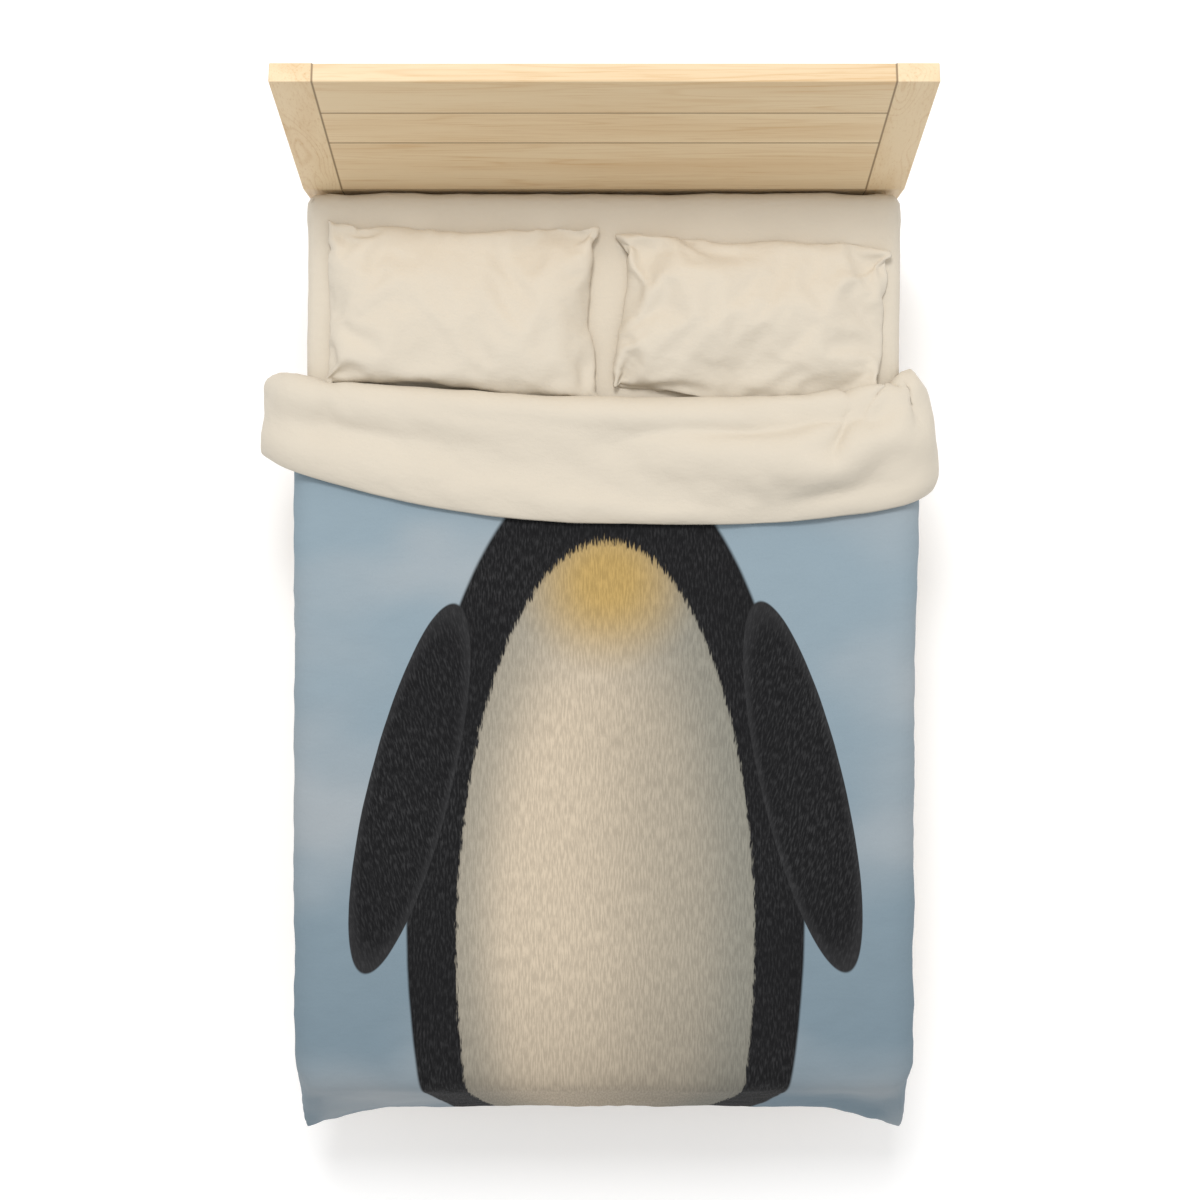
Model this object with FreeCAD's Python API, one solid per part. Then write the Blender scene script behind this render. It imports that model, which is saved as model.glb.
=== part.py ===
"""A made-up double bed: slatted wooden frame with a raked plank headboard, mattress in a fitted
sheet, two pillows, and a duvet whose top end is turned down.

Frame: millimetres, +Z up, +Y towards the headboard, +X to the right seen from the foot end. The
origin is on the floor under the middle of the mattress, at the foot of the middle centre leg.
"""
import math
import os

import FreeCAD
import Part

V = FreeCAD.Vector

# ---- driving dimensions: mattress and bed frame -------------------------------------------
MATTRESS_WIDTH = 1372.0          # 54 in
MATTRESS_LENGTH = 2032.0         # 80 in
MATTRESS_HEIGHT = 250.0
MATTRESS_CORNER_R = 30.0
MATTRESS_EDGE_R = 25.0
TICKING = 8.0                    # quilted mattress cover
COMFORT_LAYER = 50.0
SHEET = 2.0                      # fitted sheet, wall
SHEET_TUCK = 90.0                # how far the sheet turns in under the mattress
ELASTIC_WIDTH = 8.0
AIR = 0.5                        # between things that only lie on each other

DECK_HEIGHT = 300.0              # top of the slats and rails
PAD_THICKNESS = 4.0
PAD_RADIUS = 19.0
FRAME_OVERHANG = 12.0            # the frame's sides beyond the sheet's
HEAD_GAP = 12.0                  # sheet to headboard
FOOT_GAP = 12.0                  # sheet to the foot rail's outer face

RAIL_THICKNESS = 28.0
RAIL_HEIGHT = 120.0
LEDGE = 30.0
LEG = 70.0                       # square foot legs
LEG_CLEAR = 2.0                  # foot leg's top to the slat ledge above it
SLAT_COUNT = 13
SLAT_WIDTH = 70.0
SLAT_THICKNESS = 18.0
SLAT_END_GAP = 4.0
SLAT_INSET = 75.0                # rail end to the first slat's middle
BEAM_WIDTH = 45.0
BEAM_HEIGHT = 70.0
CENTRE_LEG_R = 22.0
CENTRE_LEG_PITCH = 640.0
HANGER = 2.0                     # steel of the beam hangers
HANGER_LENGTH = 40.0

# ---- headboard ----------------------------------------------------------------------------
POST_WIDTH = 90.0
HEADBOARD_THICKNESS = 42.0
RAKE_DEG = 13.6                  # the boards above the mattress lean back by this
BEND_BELOW_TOP = 4.0             # mattress top to where the lean starts
LOWER_PLANK = 240.0
MIDDLE_PLANK = 142.0
TOP_PLANK = 142.0
GROOVE = 2.0                     # chamfer that makes the V grooves
EDGE_CHAMFER = 1.5
SPLINE_THICKNESS = 8.0
SPLINE_WIDTH = 24.0
DOWEL_R = 6.0
DOWEL_LENGTH = 80.0

# ---- fasteners ----------------------------------------------------------------------------
BOLT_R = 3.0
BOLT_HOLE_R = 3.5
BOLT_HEAD_R = 8.0
BOLT_HEAD = 5.0
BARREL_NUT_R = 6.0
BARREL_NUT_LENGTH = 20.0
BED_BOLT_REACH = 60.0            # into the rail's end
BED_BOLT_HEIGHTS = (24.0, 58.0)  # above the rail's underside
BARREL_NUT_SETBACK = 42.0
INSERT_R = 5.0
INSERT_LENGTH = 16.0
SCREW_R = 2.0
SCREW_HEAD_R = 4.0
SCREW_HEAD = 2.5

# ---- pillows ------------------------------------------------------------------------------
PILLOW_WIDTH = 590.0
PILLOW_DEPTH = 365.0
PILLOW_HEIGHT = 130.0
PILLOW_CORNER_R = 55.0
PILLOW_EDGE_R = 45.0
PILLOWCASE = 2.0
LEFT_PILLOW = (-1, 35.0, 1.5)    # side, gap to the bed's middle, turn in degrees clockwise
RIGHT_PILLOW = (1, 48.0, 3.0)
PILLOW_GAP = 8.0                 # duvet to the pillows' nearest corner

# ---- duvet --------------------------------------------------------------------------------
DUVET = 40.0                     # thickness lying flat
SKIRT = 32.0                     # thickness where it hangs
COVER = 2.0                      # duvet cover, wall
SIDE_CLEAR = 2.0                 # sheet to the hanging sides, at the top
SIDE_DROP = 165.0                # duvet's top to the side hems
FOOT_DROP = 345.0                # duvet's top to the foot hem
CORNER_DROP_FROM_FOOT = 75.0     # how far up the sides the low corner reaches
HEM_SPREAD_X = 38.0              # the hem stands out this much further than the top
HEM_SPREAD_Y = 102.0
FOOT_STANDOFF = 70.0             # the top edge at the foot, beyond the sheet
FOOT_SKIRT = 40.0
UNCOVERED = 470.0                # sheet showing at the head, up to the turned-down top's crease
TURN_DEPTH = 265.0               # crease to hem
TURN_DROP = 166.0                # turned-down top to its side hems
TURN_SPREAD_X = 25.0
LAYER_GAP = 1.5                  # between the duvet and its own turned-down part
DUVET_EDGE_R = 30.0
TIE = (40.0, 10.0, 2.0)          # corner tie inside the cover

# ---- zip in the foot hem ------------------------------------------------------------------
ZIP_LENGTH = 1200.0
ZIP_WIDTH = 7.0
ZIP_THICKNESS = 3.0
SLIDER = (14.0, 13.0, 9.0)       # along the zip, across it, tall
SLIDER_CLEAR = 0.3
SLIDER_INSET = 20.0              # zip end to the slider's near face
BAIL_R = 1.0
BAIL_DROP = 3.5
PULL = (6.0, 2.2, 26.0)
PULL_EYE_CLEAR = 0.4
PULL_EYE_WALL = 2.0

# ---- values that follow -------------------------------------------------------------------
MATTRESS_BASE = DECK_HEIGHT + SHEET
MATTRESS_TOP = MATTRESS_BASE + MATTRESS_HEIGHT
SHEET_TOP = MATTRESS_TOP + SHEET
SHEET_HALF_X = MATTRESS_WIDTH / 2 + SHEET
SHEET_HALF_Y = MATTRESS_LENGTH / 2 + SHEET
HEADBOARD_Y = SHEET_HALF_Y + HEAD_GAP
FOOT_Y = -(SHEET_HALF_Y + FOOT_GAP)
HALF_FRAME = SHEET_HALF_X + FRAME_OVERHANG
RAIL_INNER_X = HALF_FRAME - RAIL_THICKNESS
RAIL_MIDDLE_X = HALF_FRAME - RAIL_THICKNESS / 2
RAIL_BASE = DECK_HEIGHT - RAIL_HEIGHT
RAIL_FOOT_Y = FOOT_Y + RAIL_THICKNESS
LEDGE_TOP = DECK_HEIGHT - SLAT_THICKNESS
LEG_TOP = LEDGE_TOP - LEDGE - LEG_CLEAR
BEAM_BASE = LEDGE_TOP - BEAM_HEIGHT
POST_INNER_X = HALF_FRAME - POST_WIDTH
RAKE = math.radians(RAKE_DEG)
RAKE_Z = MATTRESS_TOP - BEND_BELOW_TOP
BOARD_LENGTH = LOWER_PLANK + MIDDLE_PLANK + TOP_PLANK
PILLOW_BASE = SHEET_TOP + AIR
DUVET_BASE = SHEET_TOP + AIR
DUVET_TOP = DUVET_BASE + DUVET
TURN_TOP = DUVET_TOP + LAYER_GAP + DUVET
SIDE_HEM_Z = DUVET_TOP - SIDE_DROP
FOOT_HEM_Z = DUVET_TOP - FOOT_DROP
TURN_HEM_Z = TURN_TOP - TURN_DROP
TURN_CREASE_Y = SHEET_HALF_Y - UNCOVERED
TURN_HEM_Y = TURN_CREASE_Y - TURN_DEPTH
CAVITY_HALF_X = SHEET_HALF_X + SIDE_CLEAR
DUVET_HALF_X = CAVITY_HALF_X + SKIRT
DUVET_FOOT_Y = -(SHEET_HALF_Y + FOOT_STANDOFF)
ZIP_Y = DUVET_FOOT_Y - HEM_SPREAD_Y + FOOT_SKIRT / 2
ZIP_TOP = FOOT_HEM_Z


def box(x0, x1, y0, y1, z0, z1):
    """An axis-aligned box between two corners."""
    return Part.makeBox(x1 - x0, y1 - y0, z1 - z0, V(x0, y0, z0))


def rod(start, along, radius, length):
    """A cylinder from a point, along a direction."""
    return Part.makeCylinder(radius, length, V(*start), V(*along))


def edges_along(shape, axis):
    """The straight edges of a shape that run along X, Y or Z (0, 1, 2)."""
    found = []
    for edge in shape.Edges:
        if len(edge.Vertexes) == 2:
            run = edge.Vertexes[1].Point - edge.Vertexes[0].Point
            if abs(run[axis]) > 0.999 * run.Length:
                found.append(edge)
    return found


def level_edges(shape, z):
    """The edges of a shape that lie at one height."""
    return [e for e in shape.Edges if all(abs(v.Z - z) < 1e-6 for v in e.Vertexes)]


def rounded_block(half_x, half_y, z0, z1, corner_r, edge_r):
    """A block with round upright corners and round top and bottom edges."""
    block = box(-half_x, half_x, -half_y, half_y, z0, z1)
    block = block.makeFillet(corner_r, edges_along(block, 2))
    return block.makeFillet(edge_r, level_edges(block, z0) + level_edges(block, z1))


def prism(outline, x0, x1):
    """A solid of one (y, z) outline between two x."""
    points = [V(x0, y, z) for y, z in outline]
    face = Part.Face(Part.makePolygon(points + points[:1]))
    return face.extrude(V(x1 - x0, 0, 0))


def frustum(half_x0, y0_low, y1_low, z0, half_x1, y0_high, y1_high, z1):
    """A solid between a rectangle at z0 and a rectangle at z1."""
    wires = []
    for half, ya, yb, z in ((half_x0, y0_low, y1_low, z0), (half_x1, y0_high, y1_high, z1)):
        corners = [V(-half, ya, z), V(half, ya, z), V(half, yb, z), V(-half, yb, z)]
        wires.append(Part.makePolygon(corners + corners[:1]))
    return Part.makeLoft(wires, True, True)


def raked(shape):
    """A shape made upright behind y = 0 and above z = 0, moved onto the raked headboard."""
    turned = shape.copy()
    turned.rotate(V(0, 0, 0), V(1, 0, 0), -RAKE_DEG)
    turned.translate(V(0, HEADBOARD_Y, RAKE_Z))
    return turned


# ---- fasteners ----------------------------------------------------------------------------
def bed_bolts():
    """Four bolts from behind the posts into the side rails' ends."""
    solids = []
    back = HEADBOARD_Y + HEADBOARD_THICKNESS
    for side in (-1, 1):
        for z in bed_bolt_heights():
            x = side * RAIL_MIDDLE_X
            head = rod((x, back - BOLT_HEAD - 1, z), (0, 1, 0), BOLT_HEAD_R, BOLT_HEAD)
            shank_length = HEADBOARD_THICKNESS - BOLT_HEAD - 1 + BED_BOLT_REACH
            shank = rod((x, HEADBOARD_Y - BED_BOLT_REACH, z), (0, 1, 0), BOLT_R, shank_length)
            solids.append(head.fuse(shank))
    return solids


def bed_bolt_heights():
    """The heights of the two bolts in a rail's end."""
    return [RAIL_BASE + height for height in BED_BOLT_HEIGHTS]


def bed_bolt_holes():
    """What the bed bolts and barrel nuts need cut away in the posts and the side rails."""
    holes = []
    back = HEADBOARD_Y + HEADBOARD_THICKNESS
    for side in (-1, 1):
        x = side * RAIL_MIDDLE_X
        for z in bed_bolt_heights():
            reach = BED_BOLT_REACH + 2
            holes.append(rod((x, HEADBOARD_Y - reach, z), (0, 1, 0), BOLT_HOLE_R,
                             reach + HEADBOARD_THICKNESS))
            holes.append(rod((x, back - BOLT_HEAD - 1, z), (0, 1, 0), BOLT_HEAD_R + 1,
                             BOLT_HEAD + 2))
            start = (side * RAIL_INNER_X, HEADBOARD_Y - BARREL_NUT_SETBACK, z)
            depth = RAIL_THICKNESS / 2 + BARREL_NUT_LENGTH / 2
            holes.append(rod(start, (side, 0, 0), BARREL_NUT_R, depth))
    return holes


def barrel_nuts():
    """Four cross dowels, each with the hole that its bolt turns into."""
    solids = []
    for side in (-1, 1):
        x = side * RAIL_MIDDLE_X
        y = HEADBOARD_Y - BARREL_NUT_SETBACK
        for z in bed_bolt_heights():
            nut = rod((x - BARREL_NUT_LENGTH / 2, y, z), (1, 0, 0), BARREL_NUT_R,
                      BARREL_NUT_LENGTH)
            thread = rod((x, y - 2 * BARREL_NUT_R, z), (0, 1, 0), BOLT_R, 4 * BARREL_NUT_R)
            solids.append(nut.cut(thread))
    return solids


def leg_bolt_lines():
    """For each bolt of a foot leg: head place, direction, length to the rail's inner face."""
    lines = []
    for side in (-1, 1):
        middle_x = side * (RAIL_INNER_X - LEG / 2)
        middle_y = RAIL_FOOT_Y + LEG / 2
        for share in (0.3, 0.75):
            z = RAIL_BASE + (LEG_TOP - RAIL_BASE) * share
            lines.append(((side * (RAIL_INNER_X - LEG), middle_y, z), (side, 0, 0)))
            lines.append(((middle_x, RAIL_FOOT_Y + LEG, z - 3 * BOLT_R), (0, -1, 0)))
    return lines


def leg_bolts():
    """Bolts through the foot legs from inside, into the rails."""
    solids = []
    for start, along in leg_bolt_lines():
        back = [start[i] - along[i] * BOLT_HEAD for i in range(3)]
        head = rod(back, along, BOLT_HEAD_R, BOLT_HEAD)
        solids.append(head.fuse(rod(start, along, BOLT_R, LEG + INSERT_LENGTH - 2)))
    return solids


def leg_bolt_holes():
    """Clearance holes of the leg bolts and seats of their threaded inserts."""
    holes = []
    for start, along in leg_bolt_lines():
        seat = [start[i] + along[i] * LEG for i in range(3)]
        holes.append(rod(start, along, BOLT_HOLE_R, LEG))
        holes.append(rod(seat, along, INSERT_R, INSERT_LENGTH))
    return holes


def threaded_inserts():
    """The inserts in the rails that the leg bolts turn into."""
    solids = []
    for start, along in leg_bolt_lines():
        seat = [start[i] + along[i] * LEG for i in range(3)]
        bore = rod(seat, along, BOLT_R, INSERT_LENGTH)
        solids.append(rod(seat, along, INSERT_R, INSERT_LENGTH).cut(bore))
    return solids


def wood_screw(head_at, along, length):
    """A countersunk screw: head_at is the middle of its head's flat face."""
    head = Part.makeCone(SCREW_HEAD_R, SCREW_R, SCREW_HEAD, V(*head_at), V(*along))
    return head.fuse(rod(head_at, along, SCREW_R, length))


def slat_screws():
    """One screw through each end of each slat into its ledge."""
    reach = SLAT_THICKNESS + LEDGE * 0.6
    return [wood_screw((side * (RAIL_INNER_X - LEDGE / 2), y, DECK_HEIGHT), (0, 0, -1), reach)
            for y in slat_places() for side in (-1, 1)]


def ledge_screws():
    """Screws through the ledges into the side rails, one between every second pair of slats."""
    places = slat_places()
    reach = LEDGE + RAIL_THICKNESS * 0.7
    return [wood_screw((side * (RAIL_INNER_X - LEDGE), (a + b) / 2, LEDGE_TOP - LEDGE / 2),
                       (side, 0, 0), reach)
            for a, b in zip(places[::2], places[1::2]) for side in (-1, 1)]


def centre_leg_bolts():
    """Hanger bolts that hold the centre legs to the beam."""
    length = BEAM_HEIGHT * 0.6
    return [rod((0, y, BEAM_BASE - length), (0, 0, 1), BOLT_R + 1, 2 * length)
            for y in centre_leg_places()]


# ---- bed frame ----------------------------------------------------------------------------
def slat_places():
    """The y of each slat's middle."""
    first = RAIL_FOOT_Y + SLAT_INSET
    last = HEADBOARD_Y - SLAT_INSET
    return [first + (last - first) * i / (SLAT_COUNT - 1) for i in range(SLAT_COUNT)]


def centre_leg_places():
    """The y of each centre leg; the middle one stands at the origin."""
    return [-CENTRE_LEG_PITCH, 0.0, CENTRE_LEG_PITCH]


def side_rail(side):
    """A long rail between the foot rail and a headboard post."""
    low, high = sorted((side * RAIL_INNER_X, side * HALF_FRAME))
    rail = box(low, high, RAIL_FOOT_Y, HEADBOARD_Y, RAIL_BASE, DECK_HEIGHT)
    rail = rail.makeChamfer(EDGE_CHAMFER, edges_along(rail, 1))
    return rail.cut(bed_bolt_holes() + leg_bolt_holes() + ledge_screws())


def foot_rail():
    """The rail across the foot, over the side rails' ends."""
    rail = box(-HALF_FRAME, HALF_FRAME, FOOT_Y, RAIL_FOOT_Y, RAIL_BASE, DECK_HEIGHT)
    front = [e for e in rail.Edges if all(abs(v.Y - FOOT_Y) < 1e-6 for v in e.Vertexes)]
    return rail.makeChamfer(EDGE_CHAMFER, front).cut(leg_bolt_holes())


def head_rail():
    """The rail between the posts, below the base board."""
    return box(-POST_INNER_X, POST_INNER_X, HEADBOARD_Y,
               HEADBOARD_Y + HEADBOARD_THICKNESS, RAIL_BASE, DECK_HEIGHT).cut(headboard_dowels())


def foot_leg(side):
    """A square leg inside the corner of the foot rail and a side rail."""
    low, high = sorted((side * (RAIL_INNER_X - LEG), side * RAIL_INNER_X))
    leg = box(low, high, RAIL_FOOT_Y, RAIL_FOOT_Y + LEG, PAD_THICKNESS, LEG_TOP)
    leg = leg.makeChamfer(EDGE_CHAMFER * 2, edges_along(leg, 2))
    return leg.cut(leg_bolt_holes())


def slat_ledge(side):
    """The strip along a side rail that the slats lie on."""
    low, high = sorted((side * (RAIL_INNER_X - LEDGE), side * RAIL_INNER_X))
    ledge = box(low, high, RAIL_FOOT_Y, HEADBOARD_Y, LEDGE_TOP - LEDGE, LEDGE_TOP)
    return ledge.cut(slat_screws() + ledge_screws())


def slat(y):
    """One slat across the bed."""
    half = RAIL_INNER_X - SLAT_END_GAP
    board = box(-half, half, y - SLAT_WIDTH / 2, y + SLAT_WIDTH / 2, LEDGE_TOP, DECK_HEIGHT)
    board = board.makeChamfer(EDGE_CHAMFER, edges_along(board, 0))
    return board.cut([s for s in slat_screws() if abs(s.BoundBox.Center.y - y) < 1.0])


def centre_beam():
    """The beam down the middle, between the foot rail and the head rail."""
    half = BEAM_WIDTH / 2
    beam = box(-half, half, RAIL_FOOT_Y, HEADBOARD_Y, BEAM_BASE, LEDGE_TOP)
    return beam.cut(centre_leg_bolts())


def beam_hanger(y0, y1):
    """A folded steel shoe under an end of the beam."""
    half = BEAM_WIDTH / 2
    shoe = box(-half - HANGER, half + HANGER, y0, y1, BEAM_BASE - HANGER, LEDGE_TOP - HANGER)
    return shoe.cut(box(-half, half, y0 - 1, y1 + 1, BEAM_BASE, LEDGE_TOP))


def centre_leg(y):
    """A turned leg under the beam, slightly tapered."""
    height = BEAM_BASE - PAD_THICKNESS
    leg = Part.makeCone(CENTRE_LEG_R * 0.8, CENTRE_LEG_R, height, V(0, y, PAD_THICKNESS))
    return leg.cut(centre_leg_bolts())


def foot_pads():
    """Felt discs under the posts, the foot legs and the centre legs."""
    places = [(0.0, y, CENTRE_LEG_R * 0.8) for y in centre_leg_places()]
    for side in (-1, 1):
        places.append((side * (RAIL_INNER_X - LEG / 2), RAIL_FOOT_Y + LEG / 2, PAD_RADIUS))
        places.append((side * (HALF_FRAME - POST_WIDTH / 2),
                       HEADBOARD_Y + HEADBOARD_THICKNESS / 2, PAD_RADIUS))
    return [rod((x, y, 0), (0, 0, 1), min(radius, PAD_RADIUS), PAD_THICKNESS)
            for x, y, radius in places]


# ---- headboard ----------------------------------------------------------------------------
def plank_seams():
    """How far up the rake the planks meet."""
    return (LOWER_PLANK, LOWER_PLANK + MIDDLE_PLANK)


def headboard_post(side):
    """A post: upright behind the mattress, raked back above it, cut from one board."""
    low, high = sorted((side * POST_INNER_X, side * HALF_FRAME))
    front, back = HEADBOARD_Y, HEADBOARD_Y + HEADBOARD_THICKNESS
    rise = (BOARD_LENGTH * math.sin(RAKE), BOARD_LENGTH * math.cos(RAKE))
    across = (HEADBOARD_THICKNESS * math.cos(RAKE), -HEADBOARD_THICKNESS * math.sin(RAKE))
    outline = [
        (front, PAD_THICKNESS),
        (front, RAKE_Z),
        (front + rise[0], RAKE_Z + rise[1]),
        (front + rise[0] + across[0], RAKE_Z + rise[1] + across[1]),
        (back, RAKE_Z - HEADBOARD_THICKNESS * math.tan(RAKE / 2)),
        (back, PAD_THICKNESS),
    ]
    post = prism(outline, low, high)
    outer = [e for e in post.Edges if all(abs(v.X - side * HALF_FRAME) < 1e-6 for v in e.Vertexes)]
    post = post.makeChamfer(EDGE_CHAMFER, outer)
    return post.cut(bed_bolt_holes() + headboard_dowels())


def raked_plank(start, end):
    """A headboard board between two distances up the rake, grooved at its long edges."""
    depth = HEADBOARD_THICKNESS
    low_front, low_back = start + GROOVE, start + GROOVE
    if start == 0:
        low_front, low_back = 0.0, depth * math.tan(RAKE / 2)
    outline = [
        (0, low_front), (0, end - GROOVE), (GROOVE, end), (depth - GROOVE, end),
        (depth, end - GROOVE), (depth, low_back),
    ]
    if start > 0:
        outline += [(depth - GROOVE, start), (GROOVE, start)]
    board = raked(prism(outline, -POST_INNER_X, POST_INNER_X))
    return board.cut(headboard_splines() + headboard_dowels())


def base_board():
    """The upright board behind the mattress, mitred to the lowest raked plank."""
    back = HEADBOARD_Y + HEADBOARD_THICKNESS
    outline = [
        (HEADBOARD_Y, DECK_HEIGHT), (HEADBOARD_Y, RAKE_Z),
        (back, RAKE_Z - HEADBOARD_THICKNESS * math.tan(RAKE / 2)), (back, DECK_HEIGHT),
    ]
    return prism(outline, -POST_INNER_X, POST_INNER_X).cut(headboard_dowels())


def headboard_splines():
    """Loose tongues in the grooves between the raked planks."""
    half = POST_INNER_X - DOWEL_LENGTH
    y0 = (HEADBOARD_THICKNESS - SPLINE_THICKNESS) / 2
    return [raked(box(-half, half, y0, y0 + SPLINE_THICKNESS,
                      seam - SPLINE_WIDTH / 2, seam + SPLINE_WIDTH / 2))
            for seam in plank_seams()]


def headboard_dowels():
    """Dowels between the boards' ends and the posts, two an end."""
    middle = HEADBOARD_THICKNESS / 2
    seams = (0.0,) + plank_seams() + (BOARD_LENGTH,)
    up_rake = [a + (b - a) * share for a, b in zip(seams, seams[1:]) for share in (0.25, 0.75)]
    base = RAKE_Z - DECK_HEIGHT
    upright = [DECK_HEIGHT + base * share for share in (0.25, 0.75)]
    upright += [RAIL_BASE + RAIL_HEIGHT * share for share in (0.25, 0.75)]
    solids = []
    for side in (-1, 1):
        x = side * POST_INNER_X - DOWEL_LENGTH / 2
        for s in up_rake:
            solids.append(raked(rod((x, middle, s), (1, 0, 0), DOWEL_R, DOWEL_LENGTH)))
        for z in upright:
            solids.append(rod((x, HEADBOARD_Y + middle, z), (1, 0, 0), DOWEL_R, DOWEL_LENGTH))
    return solids


# ---- mattress and sheet -------------------------------------------------------------------
def mattress_block(inset):
    """The mattress's outer shape, drawn in by an inset."""
    return rounded_block(MATTRESS_WIDTH / 2 - inset, MATTRESS_LENGTH / 2 - inset,
                         MATTRESS_BASE + inset, MATTRESS_TOP - inset,
                         MATTRESS_CORNER_R - inset, MATTRESS_EDGE_R - inset)


def above(shape, z):
    """The part of a shape above a height."""
    size = 2 * MATTRESS_LENGTH
    return shape.common(box(-size, size, -size, size, z, z + size))


def mattress_cover():
    """The quilted ticking round the foam."""
    return mattress_block(0).cut(mattress_block(TICKING))


def comfort_layer():
    """The soft foam on top."""
    return above(mattress_block(TICKING), MATTRESS_TOP - TICKING - COMFORT_LAYER)


def support_core():
    """The firm foam under the comfort layer."""
    return mattress_block(TICKING).cut(comfort_layer())


def tuck_opening(inset, z0, z1):
    """The rounded opening under the mattress that a sheet's hem leaves."""
    half_x = MATTRESS_WIDTH / 2 - SHEET_TUCK - inset
    half_y = MATTRESS_LENGTH / 2 - SHEET_TUCK - inset
    block = box(-half_x, half_x, -half_y, half_y, z0, z1)
    return block.makeFillet(MATTRESS_CORNER_R, edges_along(block, 2))


def fitted_sheet():
    """The sheet over the mattress, turned in underneath."""
    sheet = mattress_block(-SHEET).cut(mattress_block(0))
    return sheet.cut(tuck_opening(0, DECK_HEIGHT - 1, MATTRESS_BASE + 1))


def sheet_elastic():
    """The elastic along the fitted sheet's hem."""
    outer = tuck_opening(0, DECK_HEIGHT, MATTRESS_BASE)
    return outer.cut(tuck_opening(ELASTIC_WIDTH, DECK_HEIGHT - 1, MATTRESS_BASE + 1))


# ---- pillows ------------------------------------------------------------------------------
def pillow_block(place, inset):
    """A pillow's outer shape at its place, drawn in by an inset."""
    side, middle_gap, turn = place
    block = rounded_block(PILLOW_WIDTH / 2 - inset, PILLOW_DEPTH / 2 - inset,
                          PILLOW_BASE + inset, PILLOW_BASE + PILLOW_HEIGHT - inset,
                          PILLOW_CORNER_R - inset, PILLOW_EDGE_R - inset)
    angle = math.radians(turn)
    reach = PILLOW_DEPTH / 2 * math.cos(angle) + PILLOW_WIDTH / 2 * math.sin(angle)
    block.rotate(V(0, 0, 0), V(0, 0, 1), -turn)
    block.translate(V(side * (PILLOW_WIDTH / 2 + middle_gap),
                      TURN_CREASE_Y + PILLOW_GAP + reach, 0))
    return block


def pillow_insert(place):
    """The filled inner pillow."""
    return pillow_block(place, PILLOWCASE)


def pillowcase(place):
    """The case round the inner pillow."""
    return pillow_block(place, 0).cut(pillow_block(place, PILLOWCASE))


# ---- duvet --------------------------------------------------------------------------------
def spread(share, at_top, at_hem):
    """A size part of the way from the duvet's top to its foot hem."""
    return at_top + (at_hem - at_top) * share


def duvet_body(inset):
    """The part that lies on the bed and hangs at the sides and the foot."""
    end = TURN_CREASE_Y - DUVET - inset
    top, base = DUVET_TOP - inset, FOOT_HEM_Z + inset
    outer = frustum(DUVET_HALF_X + HEM_SPREAD_X - inset, DUVET_FOOT_Y - HEM_SPREAD_Y + inset,
                    end, base, DUVET_HALF_X - inset, DUVET_FOOT_Y + inset, end, top)
    rims = [e for e in level_edges(outer, top) if e not in edges_at_y(outer, end)]
    outer = outer.makeFillet(DUVET_EDGE_R - inset, rims)
    ceiling = DUVET_BASE + inset
    share = (DUVET_TOP - ceiling) / FOOT_DROP
    half_high = spread(share, CAVITY_HALF_X, CAVITY_HALF_X + HEM_SPREAD_X) + inset
    half_low = CAVITY_HALF_X + HEM_SPREAD_X + inset
    foot_high = DUVET_FOOT_Y + FOOT_SKIRT - HEM_SPREAD_Y * share - inset
    foot_low = DUVET_FOOT_Y + FOOT_SKIRT - HEM_SPREAD_Y - inset
    past = end + DUVET
    cavity = frustum(half_low, foot_low, past, FOOT_HEM_Z, half_high, foot_high, past, ceiling)
    cavity_under = frustum(half_low, foot_low, past, FOOT_HEM_Z - 1, half_low, foot_low, past,
                           FOOT_HEM_Z)
    wide = 2 * DUVET_HALF_X
    corner_y = DUVET_FOOT_Y + CORNER_DROP_FROM_FOOT
    sides_below = box(-wide, wide, corner_y, past, 0, SIDE_HEM_Z + inset)
    return outer.cut([cavity, cavity_under, sides_below])


def edges_at_y(shape, y):
    """The edges of a shape that lie in one plane across the bed."""
    return [e for e in shape.Edges if all(abs(v.Y - y) < 1e-6 for v in e.Vertexes)]


def arch(y0, y1, outer_half, outer_spread, top, hem, inner_half, ceiling):
    """An inverted U across the bed: a slab with a hanging side at each end."""
    outer = frustum(outer_half + outer_spread, y0, y1, hem, outer_half, y0, y1, top)
    inner = frustum(inner_half + outer_spread, y0 - 1, y1 + 1, hem, inner_half, y0 - 1, y1 + 1,
                    ceiling)
    return outer.cut(inner)


def turned_down_part(inset):
    """The top end of the duvet, lying back over the rest and down outside its sides."""
    half = DUVET_HALF_X + LAYER_GAP + SKIRT
    return arch(TURN_HEM_Y + inset, TURN_CREASE_Y - DUVET - inset, half - inset, TURN_SPREAD_X,
                TURN_TOP - inset, TURN_HEM_Z + inset,
                DUVET_HALF_X + LAYER_GAP + inset, DUVET_TOP + LAYER_GAP + inset)


def turned_edge(inset):
    """The crease, where the two layers are one."""
    half = DUVET_HALF_X + LAYER_GAP + SKIRT
    roll = arch(TURN_CREASE_Y - DUVET - inset, TURN_CREASE_Y - inset, half - inset,
                TURN_SPREAD_X, TURN_TOP - inset, TURN_HEM_Z + inset, CAVITY_HALF_X + inset,
                DUVET_BASE + inset)
    nose = [e for e in edges_at_y(roll, TURN_CREASE_Y - inset)
            if all(v.Z > DUVET_TOP for v in e.Vertexes)]
    return roll.makeFillet(DUVET_EDGE_R - inset, nose)


def duvet_block(inset):
    """The whole duvet, drawn in by an inset."""
    whole = duvet_body(inset).fuse([turned_down_part(inset), turned_edge(inset)])
    return whole.removeSplitter()


def duvet_cover():
    """The cover round the filling."""
    return duvet_block(0).cut(duvet_block(COVER))


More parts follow.
